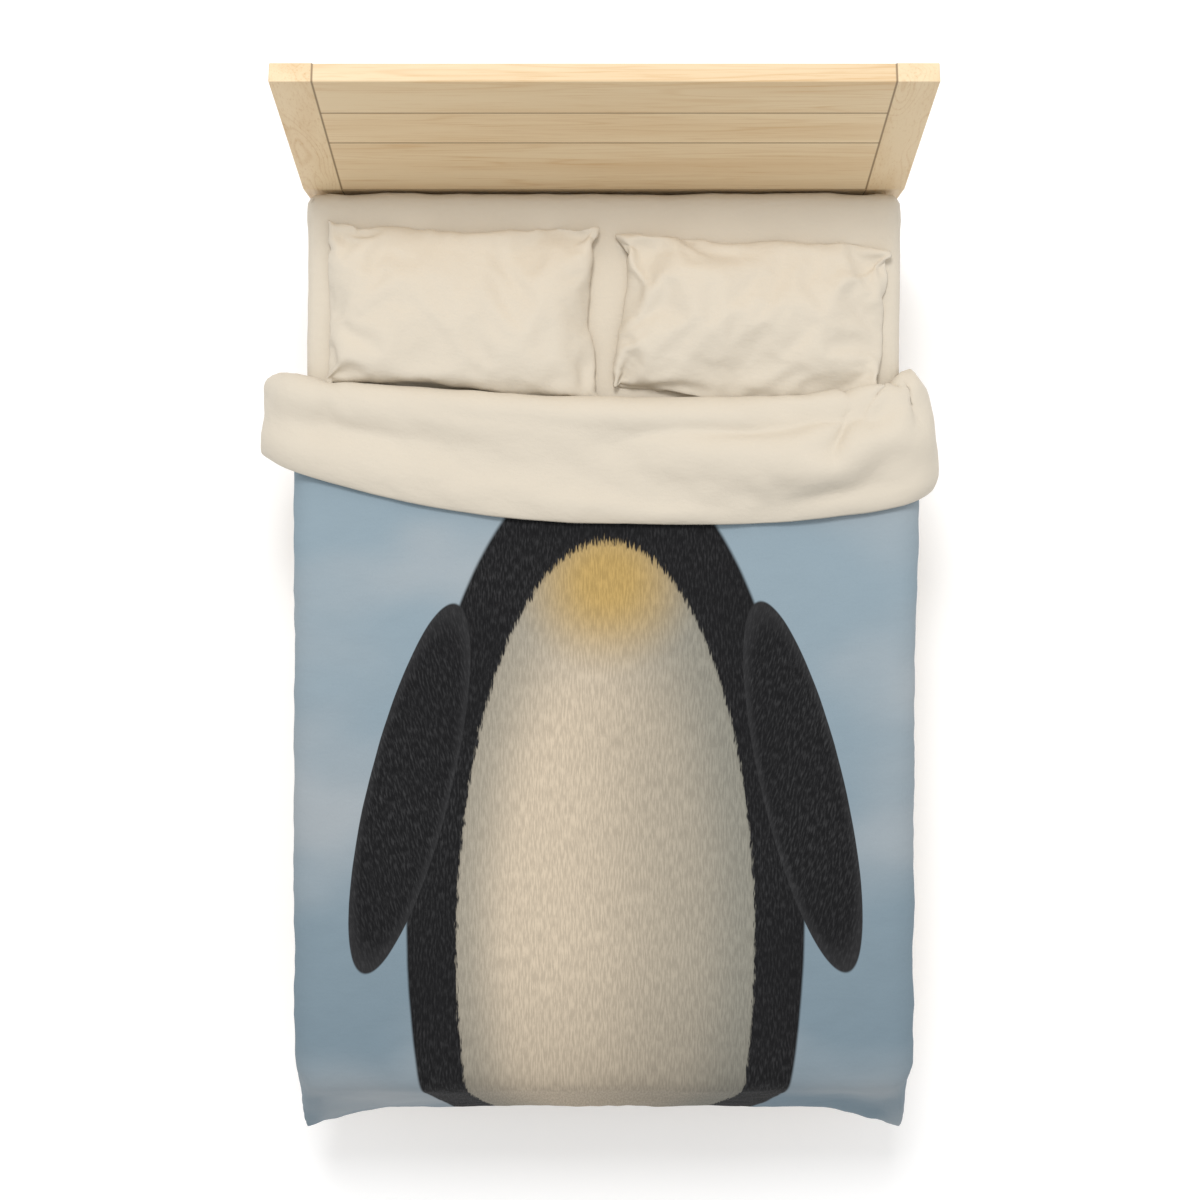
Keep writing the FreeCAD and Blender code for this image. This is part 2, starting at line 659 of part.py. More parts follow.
def corner_ties():
    """Ribbons sewn inside the cover that hold the filling's corners."""
    long, wide, thick = TIE
    x = DUVET_HALF_X - 2 * DUVET_EDGE_R - long
    low, high = DUVET_TOP - COVER, TURN_TOP - COVER
    foot, turn = DUVET_FOOT_Y + 2 * DUVET_EDGE_R, TURN_HEM_Y + 2 * DUVET_EDGE_R
    return [box(side * x - long / 2, side * x + long / 2, y, y + wide, top - thick, top)
            for side in (-1, 1) for y, top in ((foot, low), (turn, high))]


def duvet_filling():
    """The quilted filling inside the cover."""
    return duvet_block(COVER).cut(corner_ties())


# ---- zip ----------------------------------------------------------------------------------
def zip_chain():
    """The zip along the foot hem."""
    half = ZIP_LENGTH / 2
    return box(-half, half, ZIP_Y - ZIP_WIDTH / 2, ZIP_Y + ZIP_WIDTH / 2,
               ZIP_TOP - ZIP_THICKNESS, ZIP_TOP)


def slider_x():
    """Where the slider stands with the zip closed: its middle."""
    return -ZIP_LENGTH / 2 + SLIDER_INSET + SLIDER[0] / 2


def zip_slider():
    """The slider round the chain, with a bail under it for the pull."""
    long, wide, tall = SLIDER
    x, middle = slider_x(), ZIP_TOP - ZIP_THICKNESS / 2
    top = ZIP_TOP - SLIDER_CLEAR
    base = middle - tall / 2
    body = box(x - long / 2, x + long / 2, ZIP_Y - wide / 2, ZIP_Y + wide / 2, base, top)
    body = body.makeFillet(SLIDER_CLEAR * 5, edges_along(body, 2))
    half = ZIP_WIDTH / 2 + SLIDER_CLEAR
    slot = box(x - long, x + long, ZIP_Y - half, ZIP_Y + half,
               ZIP_TOP - ZIP_THICKNESS - SLIDER_CLEAR, ZIP_TOP + 1)
    bar_half = PULL[0] / 2 + PULL_EYE_CLEAR + BAIL_R
    bar = rod((x - bar_half, ZIP_Y, base - BAIL_DROP), (1, 0, 0), BAIL_R, 2 * bar_half)
    posts = [box(x + side * bar_half - BAIL_R, x + side * bar_half + BAIL_R, ZIP_Y - BAIL_R,
                 ZIP_Y + BAIL_R, base - BAIL_DROP - BAIL_R, base) for side in (-1, 1)]
    return body.cut(slot).fuse([bar] + posts)


def bail_z():
    """The height of the bail's bar, which the pull swings on."""
    return ZIP_TOP - ZIP_THICKNESS / 2 - SLIDER[2] / 2 - BAIL_DROP


def zip_pull():
    """The pull hanging on the bail."""
    wide, thick, long = PULL
    x, z = slider_x(), bail_z()
    eye_r = BAIL_R + PULL_EYE_CLEAR
    collar = rod((x - wide / 2, ZIP_Y, z), (1, 0, 0), eye_r + PULL_EYE_WALL / 2, wide)
    blade = box(x - wide / 2, x + wide / 2, ZIP_Y - thick / 2, ZIP_Y + thick / 2, z - long, z)
    blade = blade.makeFillet(wide / 3, [e for e in edges_along(blade, 1)
                                        if e.Vertexes[0].Z < z - long / 2])
    return collar.fuse(blade).cut(rod((x - wide, ZIP_Y, z), (1, 0, 0), eye_r, 2 * wide))


# ---- output -------------------------------------------------------------------------------
def nodes():
    """Every node's name and its solid, or its list of separate solids."""
    made = {}
    for name, side in (("left", -1), ("right", 1)):
        made[f"headboard_post_{name}"] = headboard_post(side)
        made[f"side_rail_{name}"] = side_rail(side)
        made[f"foot_leg_{name}"] = foot_leg(side)
        made[f"slat_ledge_{name}"] = slat_ledge(side)
    low, high = plank_seams()
    made["headboard_lower_plank"] = raked_plank(0, low)
    made["headboard_middle_plank"] = raked_plank(low, high)
    made["headboard_top_plank"] = raked_plank(high, BOARD_LENGTH)
    made["headboard_base_board"] = base_board()
    made["headboard_splines"] = headboard_splines()
    made["headboard_dowels"] = headboard_dowels()
    made["head_rail"] = head_rail()
    made["foot_rail"] = foot_rail()
    made["centre_beam"] = centre_beam()
    made["beam_hanger_foot"] = beam_hanger(RAIL_FOOT_Y, RAIL_FOOT_Y + HANGER_LENGTH)
    made["beam_hanger_head"] = beam_hanger(HEADBOARD_Y - HANGER_LENGTH, HEADBOARD_Y)
    for i, y in enumerate(centre_leg_places(), 1):
        made[f"centre_leg_{i}"] = centre_leg(y)
    for i, y in enumerate(slat_places(), 1):
        made[f"slat_{i:02d}"] = slat(y)
    made["foot_pads"] = foot_pads()
    made["bed_bolts"] = bed_bolts()
    made["barrel_nuts"] = barrel_nuts()
    made["leg_bolts"] = leg_bolts()
    made["threaded_inserts"] = threaded_inserts()
    made["slat_screws"] = slat_screws()
    made["ledge_screws"] = ledge_screws()
    made["centre_leg_bolts"] = centre_leg_bolts()
    made["mattress_cover"] = mattress_cover()
    made["mattress_comfort_layer"] = comfort_layer()
    made["mattress_support_core"] = support_core()
    made["fitted_sheet"] = fitted_sheet()
    made["fitted_sheet_elastic"] = sheet_elastic()
    for name, place in (("left", LEFT_PILLOW), ("right", RIGHT_PILLOW)):
        made[f"pillow_insert_{name}"] = pillow_insert(place)
        made[f"pillowcase_{name}"] = pillowcase(place)
    made["duvet_cover"] = duvet_cover()
    made["duvet_filling"] = duvet_filling()
    made["duvet_corner_ties"] = corner_ties()
    made["zip_chain"] = zip_chain()
    made["zip_slider"] = zip_slider()
    made["zip_pull"] = zip_pull()
    return made


def main():
    """Writes one STEP file a node, and says what is in it."""
    os.makedirs("parts", exist_ok=True)
    for name, made in nodes().items():
        shape = Part.makeCompound(made) if isinstance(made, list) else made
        solids = shape.Solids
        if not solids or not all(s.isValid() and s.Volume > 0 for s in solids):
            raise ValueError(f"{name} isn't made of valid solids")
        shape.exportStep(f"parts/{name}.step")
        print(f"{name}: {len(solids)} solids, {shape.Volume / 1000:.1f} cm3")


main()
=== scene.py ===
"""The looks of a made double bed, built round its CAD frame.

The bedstead's boards keep their CAD shapes and are dressed in maple and pine. The bedding is
modelled here: the fitted sheet is stretched over the mattress, the pillows are filled by cloth
simulation, and the duvet is draped over the bed by cloth simulation with its top end turned down.
"""

import logging
import math
from dataclasses import dataclass, field
from enum import Enum

import bpy
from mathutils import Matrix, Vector, noise


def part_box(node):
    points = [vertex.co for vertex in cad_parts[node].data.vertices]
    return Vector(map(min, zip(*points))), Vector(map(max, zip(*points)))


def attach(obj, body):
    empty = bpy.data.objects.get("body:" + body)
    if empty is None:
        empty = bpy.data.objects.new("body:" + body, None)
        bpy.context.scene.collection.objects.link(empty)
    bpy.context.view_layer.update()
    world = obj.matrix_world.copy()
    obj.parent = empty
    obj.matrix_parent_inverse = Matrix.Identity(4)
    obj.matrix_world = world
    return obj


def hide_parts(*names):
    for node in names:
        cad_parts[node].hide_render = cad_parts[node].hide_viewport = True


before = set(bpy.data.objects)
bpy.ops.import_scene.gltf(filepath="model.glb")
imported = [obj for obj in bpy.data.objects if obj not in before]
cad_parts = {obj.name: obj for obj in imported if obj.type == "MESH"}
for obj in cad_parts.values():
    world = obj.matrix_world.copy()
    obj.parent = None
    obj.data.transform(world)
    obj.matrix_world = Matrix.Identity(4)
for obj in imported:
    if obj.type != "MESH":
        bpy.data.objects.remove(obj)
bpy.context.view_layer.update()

logging.basicConfig(level=logging.INFO, format="%(message)s")
log = logging.getLogger("bed")

Colour = tuple[float, float, float]
Value = bpy.types.NodeSocket | float


# ---- working on meshes ---------------------------------------------------------------------
def deselect_all() -> None:
    """Leaves nothing selected and nothing active."""
    for obj in bpy.context.selected_objects:
        obj.select_set(False)
    bpy.context.view_layer.objects.active = None


def take(obj: bpy.types.Object) -> None:
    """Makes one object the only selected one, and the active one.

    Args:
        obj: the object to work on.
    """
    deselect_all()
    obj.select_set(True)
    bpy.context.view_layer.objects.active = obj


def named(name: str) -> bpy.types.Object:
    """Names the primitive that was just added.

    Args:
        name: its name.

    Returns:
        The object.
    """
    obj = bpy.context.active_object
    obj.name = name
    obj.data.name = name
    return obj


def apply_all(obj: bpy.types.Object) -> None:
    """Applies an object's modifiers in their order.

    Args:
        obj: the object.
    """
    take(obj)
    for modifier in list(obj.modifiers):
        bpy.ops.object.modifier_apply(modifier=modifier.name)


def copy_of(obj: bpy.types.Object, name: str) -> bpy.types.Object:
    """Copies an object with its own mesh.

    Args:
        obj: the object to copy.
        name: the copy's name.

    Returns:
        The copy.
    """
    twin = obj.copy()
    twin.data = obj.data.copy()
    twin.name = name
    bpy.context.scene.collection.objects.link(twin)
    return twin


def remove(obj: bpy.types.Object) -> None:
    """Deletes an object and its mesh."""
    mesh = obj.data
    bpy.data.objects.remove(obj)
    bpy.data.meshes.remove(mesh)


def grid(name: str, across: int, along: int) -> bpy.types.Object:
    """Adds a flat grid from -1 to 1 each way, with a UV map from 0 to 1.

    Args:
        name: the object's name.
        across: squares along X.
        along: squares along Y.

    Returns:
        The grid.
    """
    deselect_all()
    bpy.ops.mesh.primitive_grid_add(x_subdivisions=across, y_subdivisions=along, size=2.0,
                                    calc_uvs=True)
    return named(name)


def puff(obj: bpy.types.Object, distance: float) -> None:
    """Moves an object's surface outwards.

    Args:
        obj: the object.
        distance: how far.
    """
    points = obj.data.vertices
    moves = [point.normal * distance for point in points]
    for point, move in zip(points, moves):
        point.co += move


def shade_smooth(obj: bpy.types.Object) -> None:
    """Shades an object's faces smooth."""
    take(obj)
    bpy.ops.object.shade_smooth()


def ease(low: float, high: float, value: float) -> float:
    """Goes smoothly from 0 at low to 1 at high.

    Args:
        low: where it starts to rise.
        high: where it is 1.
        value: the place.

    Returns:
        The share.
    """
    share = min(max((value - low) / (high - low), 0.0), 1.0)
    return share * share * (3 - 2 * share)


def creases(point: Vector, scale: float, seed: float) -> float:
    """Height of soft ridges in cloth, which meet at sharper lines.

    Args:
        point: the place, stretched as the creases run.
        scale: creases in a metre.
        seed: picks another pattern.

    Returns:
        From about -1 to 1.
    """
    return 1 - 2 * abs(noise.noise(point * scale + Vector((seed, seed * 0.7, seed * 1.3))) * 1.6)


# ---- cloth simulation ----------------------------------------------------------------------
@dataclass(frozen=True)
class Fabric:
    """How a simulated cloth behaves.

    Attributes:
        mass: of each of the mesh's points.
        stretch: stiffness against stretching and shrinking.
        shear: stiffness against skewing.
        bend: stiffness against bending.
        damping: how fast a bend settles.
        clearance: kept from what it lies on, in metres.
        friction: against what it lies on.
    """

    mass: float
    stretch: float
    shear: float
    bend: float
    damping: float = 5.0
    clearance: float = 0.004
    friction: float = 20.0

    def put_on(self, obj: bpy.types.Object, pins: str = "") -> bpy.types.ClothModifier:
        """Makes an object a cloth.

        Args:
            obj: the mesh.
            pins: its vertex group of held points, with how firmly each is held.

        Returns:
            The modifier.
        """
        cloth = obj.modifiers.new("cloth", "CLOTH")
        made = cloth.settings
        made.quality = 7
        made.mass = self.mass
        made.tension_stiffness = self.stretch
        made.compression_stiffness = self.stretch
        made.shear_stiffness = self.shear
        made.bending_stiffness = self.bend
        made.bending_damping = self.damping
        made.tension_damping = made.compression_damping = made.shear_damping = self.damping
        made.air_damping = 3.0
        made.vertex_group_mass = pins
        meets = cloth.collision_settings
        meets.distance_min = self.clearance
        meets.collision_quality = 3
        meets.friction = self.friction
        return cloth


def make_solid(obj: bpy.types.Object) -> None:
    """Lets simulated cloth lie on an object."""
    obj.modifiers.new("collision", "COLLISION")
    obj.collision.thickness_outer = 0.002
    obj.collision.thickness_inner = 0.02
    obj.collision.cloth_friction = 20.0


def settle(cloths: list[bpy.types.Object], frames: int) -> None:
    """Runs the simulation and keeps each cloth's last shape.

    Args:
        cloths: the simulated objects.
        frames: how long it runs.
    """
    scene = bpy.context.scene
    scene.frame_start, scene.frame_end = 1, frames
    for obj in cloths:
        obj.modifiers["cloth"].point_cache.frame_end = frames
    for number in range(1, frames + 1):
        scene.frame_set(number)
    for obj in cloths:
        take(obj)
        bpy.ops.object.modifier_apply(modifier="cloth")
    scene.frame_set(1)


# ---- materials -----------------------------------------------------------------------------
class Graph:
    """One material's nodes, written as formulas over its surface."""

    def __init__(self, name: str) -> None:
        """Starts a material with a plain shader.

        Args:
            name: the material's name.
        """
        self.material = bpy.data.materials.new(name)
        self.material.use_nodes = True
        self.tree = self.material.node_tree
        self.shader = self.tree.nodes["Principled BSDF"]

    def node(self, kind: str, **inputs: object) -> bpy.types.Node:
        """Adds a node.

        Args:
            kind: its type.
            **inputs: its sockets' numbers or links, by name with _ for a space.

        Returns:
            The node.
        """
        made = self.tree.nodes.new(kind)
        for key, value in inputs.items():
            self.feed(made.inputs[key.replace("_", " ")], value)
        return made

    def feed(self, socket: bpy.types.NodeSocket, value: object) -> None:
        """Links a socket to another, or sets its number or colour."""
        if isinstance(value, bpy.types.NodeSocket):
            self.tree.links.new(value, socket)
        elif isinstance(value, tuple) and len(value) == 3 and socket.type == "RGBA":
            socket.default_value = (*value, 1.0)
        else:
            socket.default_value = value

    def sum(self, operation: str, a: Value, b: Value = 0.0,
            c: Value = 0.0) -> bpy.types.NodeSocket:
        """Works out one operation of the Math node."""
        made = self.tree.nodes.new("ShaderNodeMath")
        made.operation = operation
        for socket, value in zip(made.inputs, (a, b, c)):
            self.feed(socket, value)
        return made.outputs[0]

    def step(self, value: Value, low: float, high: float) -> bpy.types.NodeSocket:
        """Goes smoothly from 0 at low to 1 at high; low may be the larger."""
        made = self.node("ShaderNodeMapRange", Value=value)
        made.interpolation_type = "SMOOTHSTEP"
        flip = low > high
        made.inputs["From Min"].default_value = min(low, high)
        made.inputs["From Max"].default_value = max(low, high)
        made.inputs["To Min"].default_value = 1.0 if flip else 0.0
        made.inputs["To Max"].default_value = 0.0 if flip else 1.0
        return made.outputs["Result"]

    def mix(self, share: Value, a: object, b: object) -> bpy.types.NodeSocket:
        """Mixes two colours: a at share 0, b at share 1."""
        made = self.tree.nodes.new("ShaderNodeMix")
        made.data_type = "RGBA"
        self.feed(made.inputs["Factor"], share)
        self.feed(made.inputs[6], a)
        self.feed(made.inputs[7], b)
        return made.outputs[2]

    def shade(self, colour: object, light: Value) -> bpy.types.NodeSocket:
        """Multiplies a colour by a number."""
        made = self.tree.nodes.new("ShaderNodeVectorMath")
        made.operation = "SCALE"
        self.feed(made.inputs[0], colour)
        self.feed(made.inputs["Scale"], light)
        return made.outputs[0]

    def place(self, uv: bool = False) -> bpy.types.NodeSocket:
        """The point on the surface: its UV, or its place in the object."""
        made = self.tree.nodes.new("ShaderNodeTexCoord")
        return made.outputs["UV" if uv else "Object"]

    def stretched(self, at: bpy.types.NodeSocket, scale: Colour, turn: float = 0.0,
                  shift: Colour = (0.0, 0.0, 0.0)) -> bpy.types.NodeSocket:
        """Scales, turns about Z and shifts a point."""
        made = self.node("ShaderNodeMapping", Vector=at)
        made.inputs["Scale"].default_value = scale
        made.inputs["Rotation"].default_value = (0.0, 0.0, turn)
        made.inputs["Location"].default_value = shift
        return made.outputs[0]

    def noise(self, at: bpy.types.NodeSocket, scale: float, detail: float = 2.0,
              rough: float = 0.5) -> bpy.types.NodeSocket:
        """Smooth noise from 0 to 1."""
        made = self.node("ShaderNodeTexNoise", Vector=at, Scale=scale, Detail=detail,
                         Roughness=rough)
        return made.outputs["Fac"]

    def axes(self, at: bpy.types.NodeSocket) -> list[bpy.types.NodeSocket]:
        """A point's X, Y and Z."""
        return list(self.node("ShaderNodeSeparateXYZ", Vector=at).outputs)

    def weave(self, at: bpy.types.NodeSocket, width: float, length: float,
              pitch: float) -> bpy.types.NodeSocket:
        """Height of a plain weave's threads, with slubs.

        Args:
            at: the UV point.
            width: the cloth's size across the UV map, in metres.
            length: and along it.
            pitch: from thread to thread.

        Returns:
            The height, from about 0 to 1.
        """
        even = self.stretched(at, (width, length, 1.0))
        x, y, _ = self.axes(even)
        turn = 2 * math.pi / pitch
        warp = self.sum("SINE", self.sum("MULTIPLY", x, turn))
        weft = self.sum("SINE", self.sum("MULTIPLY", y, turn))
        slubs = self.noise(self.stretched(even, (9.0, 120.0, 1.0)), 1.0)
        threads = self.sum("MULTIPLY_ADD", self.sum("MULTIPLY", warp, weft), 0.25, 0.5)
        return self.sum("ADD", self.sum("MULTIPLY", threads, 0.7),
                        self.sum("MULTIPLY", slubs, 0.3))

    def finish(self, colour: object, roughness: object, height: object = None,
               depth: float = 0.0002, **fixed: float) -> bpy.types.Material:
        """Feeds the shader.

        Args:
            colour: the base colour.
            roughness: the roughness.
            height: the surface's height, from 0 to 1.
            depth: what a height of 1 is, in metres.
            **fixed: more of the shader's sockets, by name with _ for a space.

        Returns:
            The material.
        """
        self.feed(self.shader.inputs["Base Color"], colour)
        self.feed(self.shader.inputs["Roughness"], roughness)
        if height is not None:
            bump = self.node("ShaderNodeBump", Height=height, Distance=depth)
            self.feed(self.shader.inputs["Normal"], bump.outputs[0])
        for key, value in fixed.items():
            self.feed(self.shader.inputs[key.replace("_", " ")], value)
        return self.material


def dress(obj: bpy.types.Object, *materials: bpy.types.Material) -> None:
    """Gives an object its materials in place of those it has.

    Args:
        obj: the object.
        *materials: its slots' materials in order.
    """
    slots = obj.data.materials
    while len(slots) > len(materials):
        slots.pop()
    for number, material in enumerate(materials):
        if number < len(slots):
            slots[number] = material
        else:
            slots.append(material)


class Grain(Enum):
    """Which way a board's fibres run."""

    ALONG_X = (1.0, 14.0, 14.0)
    ALONG_Y = (14.0, 1.0, 14.0)
    ALONG_Z = (14.0, 14.0, 1.0)


@dataclass(frozen=True)
class Joint:
    """A level plane where two boards meet.

    Attributes:
        across: the unit vector square to it.
        place: how far along that vector it is.
    """

    across: Vector
    place: float


@dataclass(frozen=True)
class Wood:
    """Planed and oiled timber.

    Attributes:
        pale: the colour between the growth lines.
        line: the colour of the growth lines.
        figure: how strongly the lines show.
        roughness: of the oiled face.
    """

    pale: Colour
    line: Colour
    figure: float = 0.5
    roughness: float = 0.5

    def board(self, name: str, grain: Grain, seed: float,
              joints: tuple[Joint, ...] = ()) -> bpy.types.Material:
        """A material for boards cut from one plank.

        Args:
            name: its name.
            grain: which way the fibres run.
            seed: picks another piece of timber.
            joints: where it meets other boards, and painted shade darkens the gap there.

        Returns:
            The material.
        """
        g = Graph(name)
        shift = (seed * 3.1, seed * 1.7, seed * 2.3)
        at = g.stretched(g.place(), grain.value, shift=shift)
        swirl = g.noise(at, 0.55, 2.0, 0.45)
        rings = g.sum("SINE", g.sum("MULTIPLY", swirl, 150.0))
        lines = g.sum("POWER", g.sum("MULTIPLY_ADD", rings, 0.5, 0.5), 6.0)
        lines = g.sum("MULTIPLY", lines, g.step(g.noise(at, 1.1, 1.0), 0.35, 0.65))
        broad = g.noise(at, 0.8, 3.0, 0.6)
        fibre_scale = tuple(7.0 if axis == 1.0 else 260.0 for axis in grain.value)
        fibres = g.noise(g.stretched(g.place(), fibre_scale, shift=shift), 1.0, 3.0, 0.6)
        flecks = g.step(fibres, 0.52, 0.70)
        amount = g.sum("MULTIPLY", lines, self.figure)
        amount = g.sum("ADD", amount, g.sum("MULTIPLY", g.sum("SUBTRACT", broad, 0.42), 2.0))
        amount = g.sum("ADD", amount, g.sum("MULTIPLY", flecks, 0.45))
        tint = 0.5 + 0.5 * math.sin(seed * 5.0)
        pale = tuple(c * (0.95 + 0.05 * tint) for c in self.pale)
        colour = g.mix(amount, pale, self.line)
        # Painted shade: a thin dark line along each joint stands in for the shadow in the gap
        # between boards.
        for joint in joints:
            dot = self.distance(g, joint)
            colour = g.mix(g.step(dot, 0.0034, 0.0008), colour, tuple(c * 0.42 for c in self.line))
        rough = g.sum("MULTIPLY_ADD", fibres, 0.18, self.roughness - 0.09)
        height = g.sum("ADD", g.sum("MULTIPLY", fibres, 0.7), g.sum("MULTIPLY", lines, -0.3))
        return g.finish(colour, rough, height, 0.00025, Coat_Weight=0.08, Coat_Roughness=0.35)

    def distance(self, g: Graph, joint: Joint) -> bpy.types.NodeSocket:
        """How far a point of the board's surface is from a joint."""
        made = g.tree.nodes.new("ShaderNodeVectorMath")
        made.operation = "DOT_PRODUCT"
        g.feed(made.inputs[0], g.place())
        g.feed(made.inputs[1], tuple(joint.across))
        return g.sum("ABSOLUTE", g.sum("SUBTRACT", made.outputs["Value"], joint.place))


@dataclass(frozen=True)
class Metal:
    """Plated steel with fine turning or brushing marks."""

    colour: Colour
    roughness: float = 0.3

    def made(self, name: str) -> bpy.types.Material:
        """The material."""
        g = Graph(name)
        marks = g.noise(g.stretched(g.place(), (900.0, 300.0, 900.0)), 1.0, 2.0)
        stains = g.noise(g.place(), 60.0, 3.0)
        colour = g.mix(stains, self.colour, tuple(c * 0.82 for c in self.colour))
        rough = g.sum("MULTIPLY_ADD", marks, 0.25, self.roughness - 0.12)
        return g.finish(colour, rough, marks, 0.00005, Metallic=1.0)


@dataclass(frozen=True)
class Pile:
    """Felt, foam or wadding: a soft mass with no threads to see."""

    colour: Colour
    cell: float
    depth: float = 0.0006

    def made(self, name: str) -> bpy.types.Material:
        """The material."""
        g = Graph(name)
        cells = g.noise(g.place(), 1 / self.cell, 4.0, 0.7)
        patches = g.noise(g.place(), 12.0, 2.0)
        colour = g.mix(g.sum("MULTIPLY_ADD", patches, 0.5, g.sum("MULTIPLY", cells, 0.4)),
                       self.colour, tuple(c * 0.8 for c in self.colour))
        return g.finish(colour, 0.95, cells, self.depth, Sheen_Weight=0.2)


@dataclass(frozen=True)
class Cotton:
    """Washed cotton.

    Attributes:
        colour: where it is cleanest.
        pitch: from thread to thread, in metres.
        sheen: of the fibres that stand up.
        gloss: how much it reflects.
    """

    colour: Colour
    pitch: float = 0.0011
    sheen: float = 0.15
    gloss: float = 0.35

    def surface(self, g: Graph, width: float, length: float,
                colour: object) -> bpy.types.Material:
        """Finishes a material as this cloth.

        Args:
            g: the material's graph.
            width: the cloth's size across its UV map, in metres.
            length: and along it.
            colour: what is dyed or printed on it.

        Returns:
            The material.
        """
        uv = g.place(uv=True)
        threads = g.weave(uv, width, length, self.pitch)
        even = g.stretched(uv, (width, length, 1.0))
        clouds = g.noise(even, 7.0, 3.0, 0.6)
        # Painted shade between the threads: the colour is darker where the weave lies low; the
        # clouds vary the cloth's tone at random.
        light = g.sum("MULTIPLY_ADD", clouds, 0.05, 0.965)
        light = g.sum("MULTIPLY", light, g.sum("MULTIPLY_ADD", threads, 0.05, 0.975))
        crumple = g.noise(g.stretched(even, (1.0, 1.6, 1.0)), 38.0, 3.0, 0.62)
        height = g.sum("ADD", g.sum("MULTIPLY", threads, 0.10), g.sum("MULTIPLY", crumple, 0.9))
        return g.finish(g.shade(colour, light), 0.85, height, 0.0016, Sheen_Weight=self.sheen,
                        Sheen_Roughness=0.5, Specular_IOR_Level=self.gloss)

    def plain(self, name: str, width: float, length: float) -> bpy.types.Material:
        """The cloth in its own colour."""
        g = Graph(name)
        return self.surface(g, width, length, g.mix(0.0, self.colour, self.colour))


@dataclass(frozen=True)
class Oval:
    """An oval on the print, in metres on the cloth laid flat.

    Attributes:
        across: its middle's place, from the cloth's middle.
        up: and its height over the foot hem.
        wide: half its width.
        tall: half its height.
        lean: how far it is turned, in radians.
    """

    across: float
    up: float
    wide: float
    tall: float
    lean: float = 0.0

    def far(self, g: Graph, x: Value, y: Value) -> bpy.types.NodeSocket:
        """How far out a point lies.

        Args:
            g: the material's graph.
            x: across.
            y: up.

        Returns:
            0 in the oval's middle and 1 on its outline.
        """
        dx, dy = g.sum("SUBTRACT", x, self.across), g.sum("SUBTRACT", y, self.up)
        cos, sin = math.cos(self.lean), math.sin(self.lean)
        u = g.sum("MULTIPLY_ADD", dx, cos, g.sum("MULTIPLY", dy, sin))
        v = g.sum("MULTIPLY_ADD", dy, cos, g.sum("MULTIPLY", dx, -sin))
        u, v = g.sum("DIVIDE", u, self.wide), g.sum("DIVIDE", v, self.tall)
        return g.sum("SQRT", g.sum("ADD", g.sum("MULTIPLY", u, u), g.sum("MULTIPLY", v, v)))


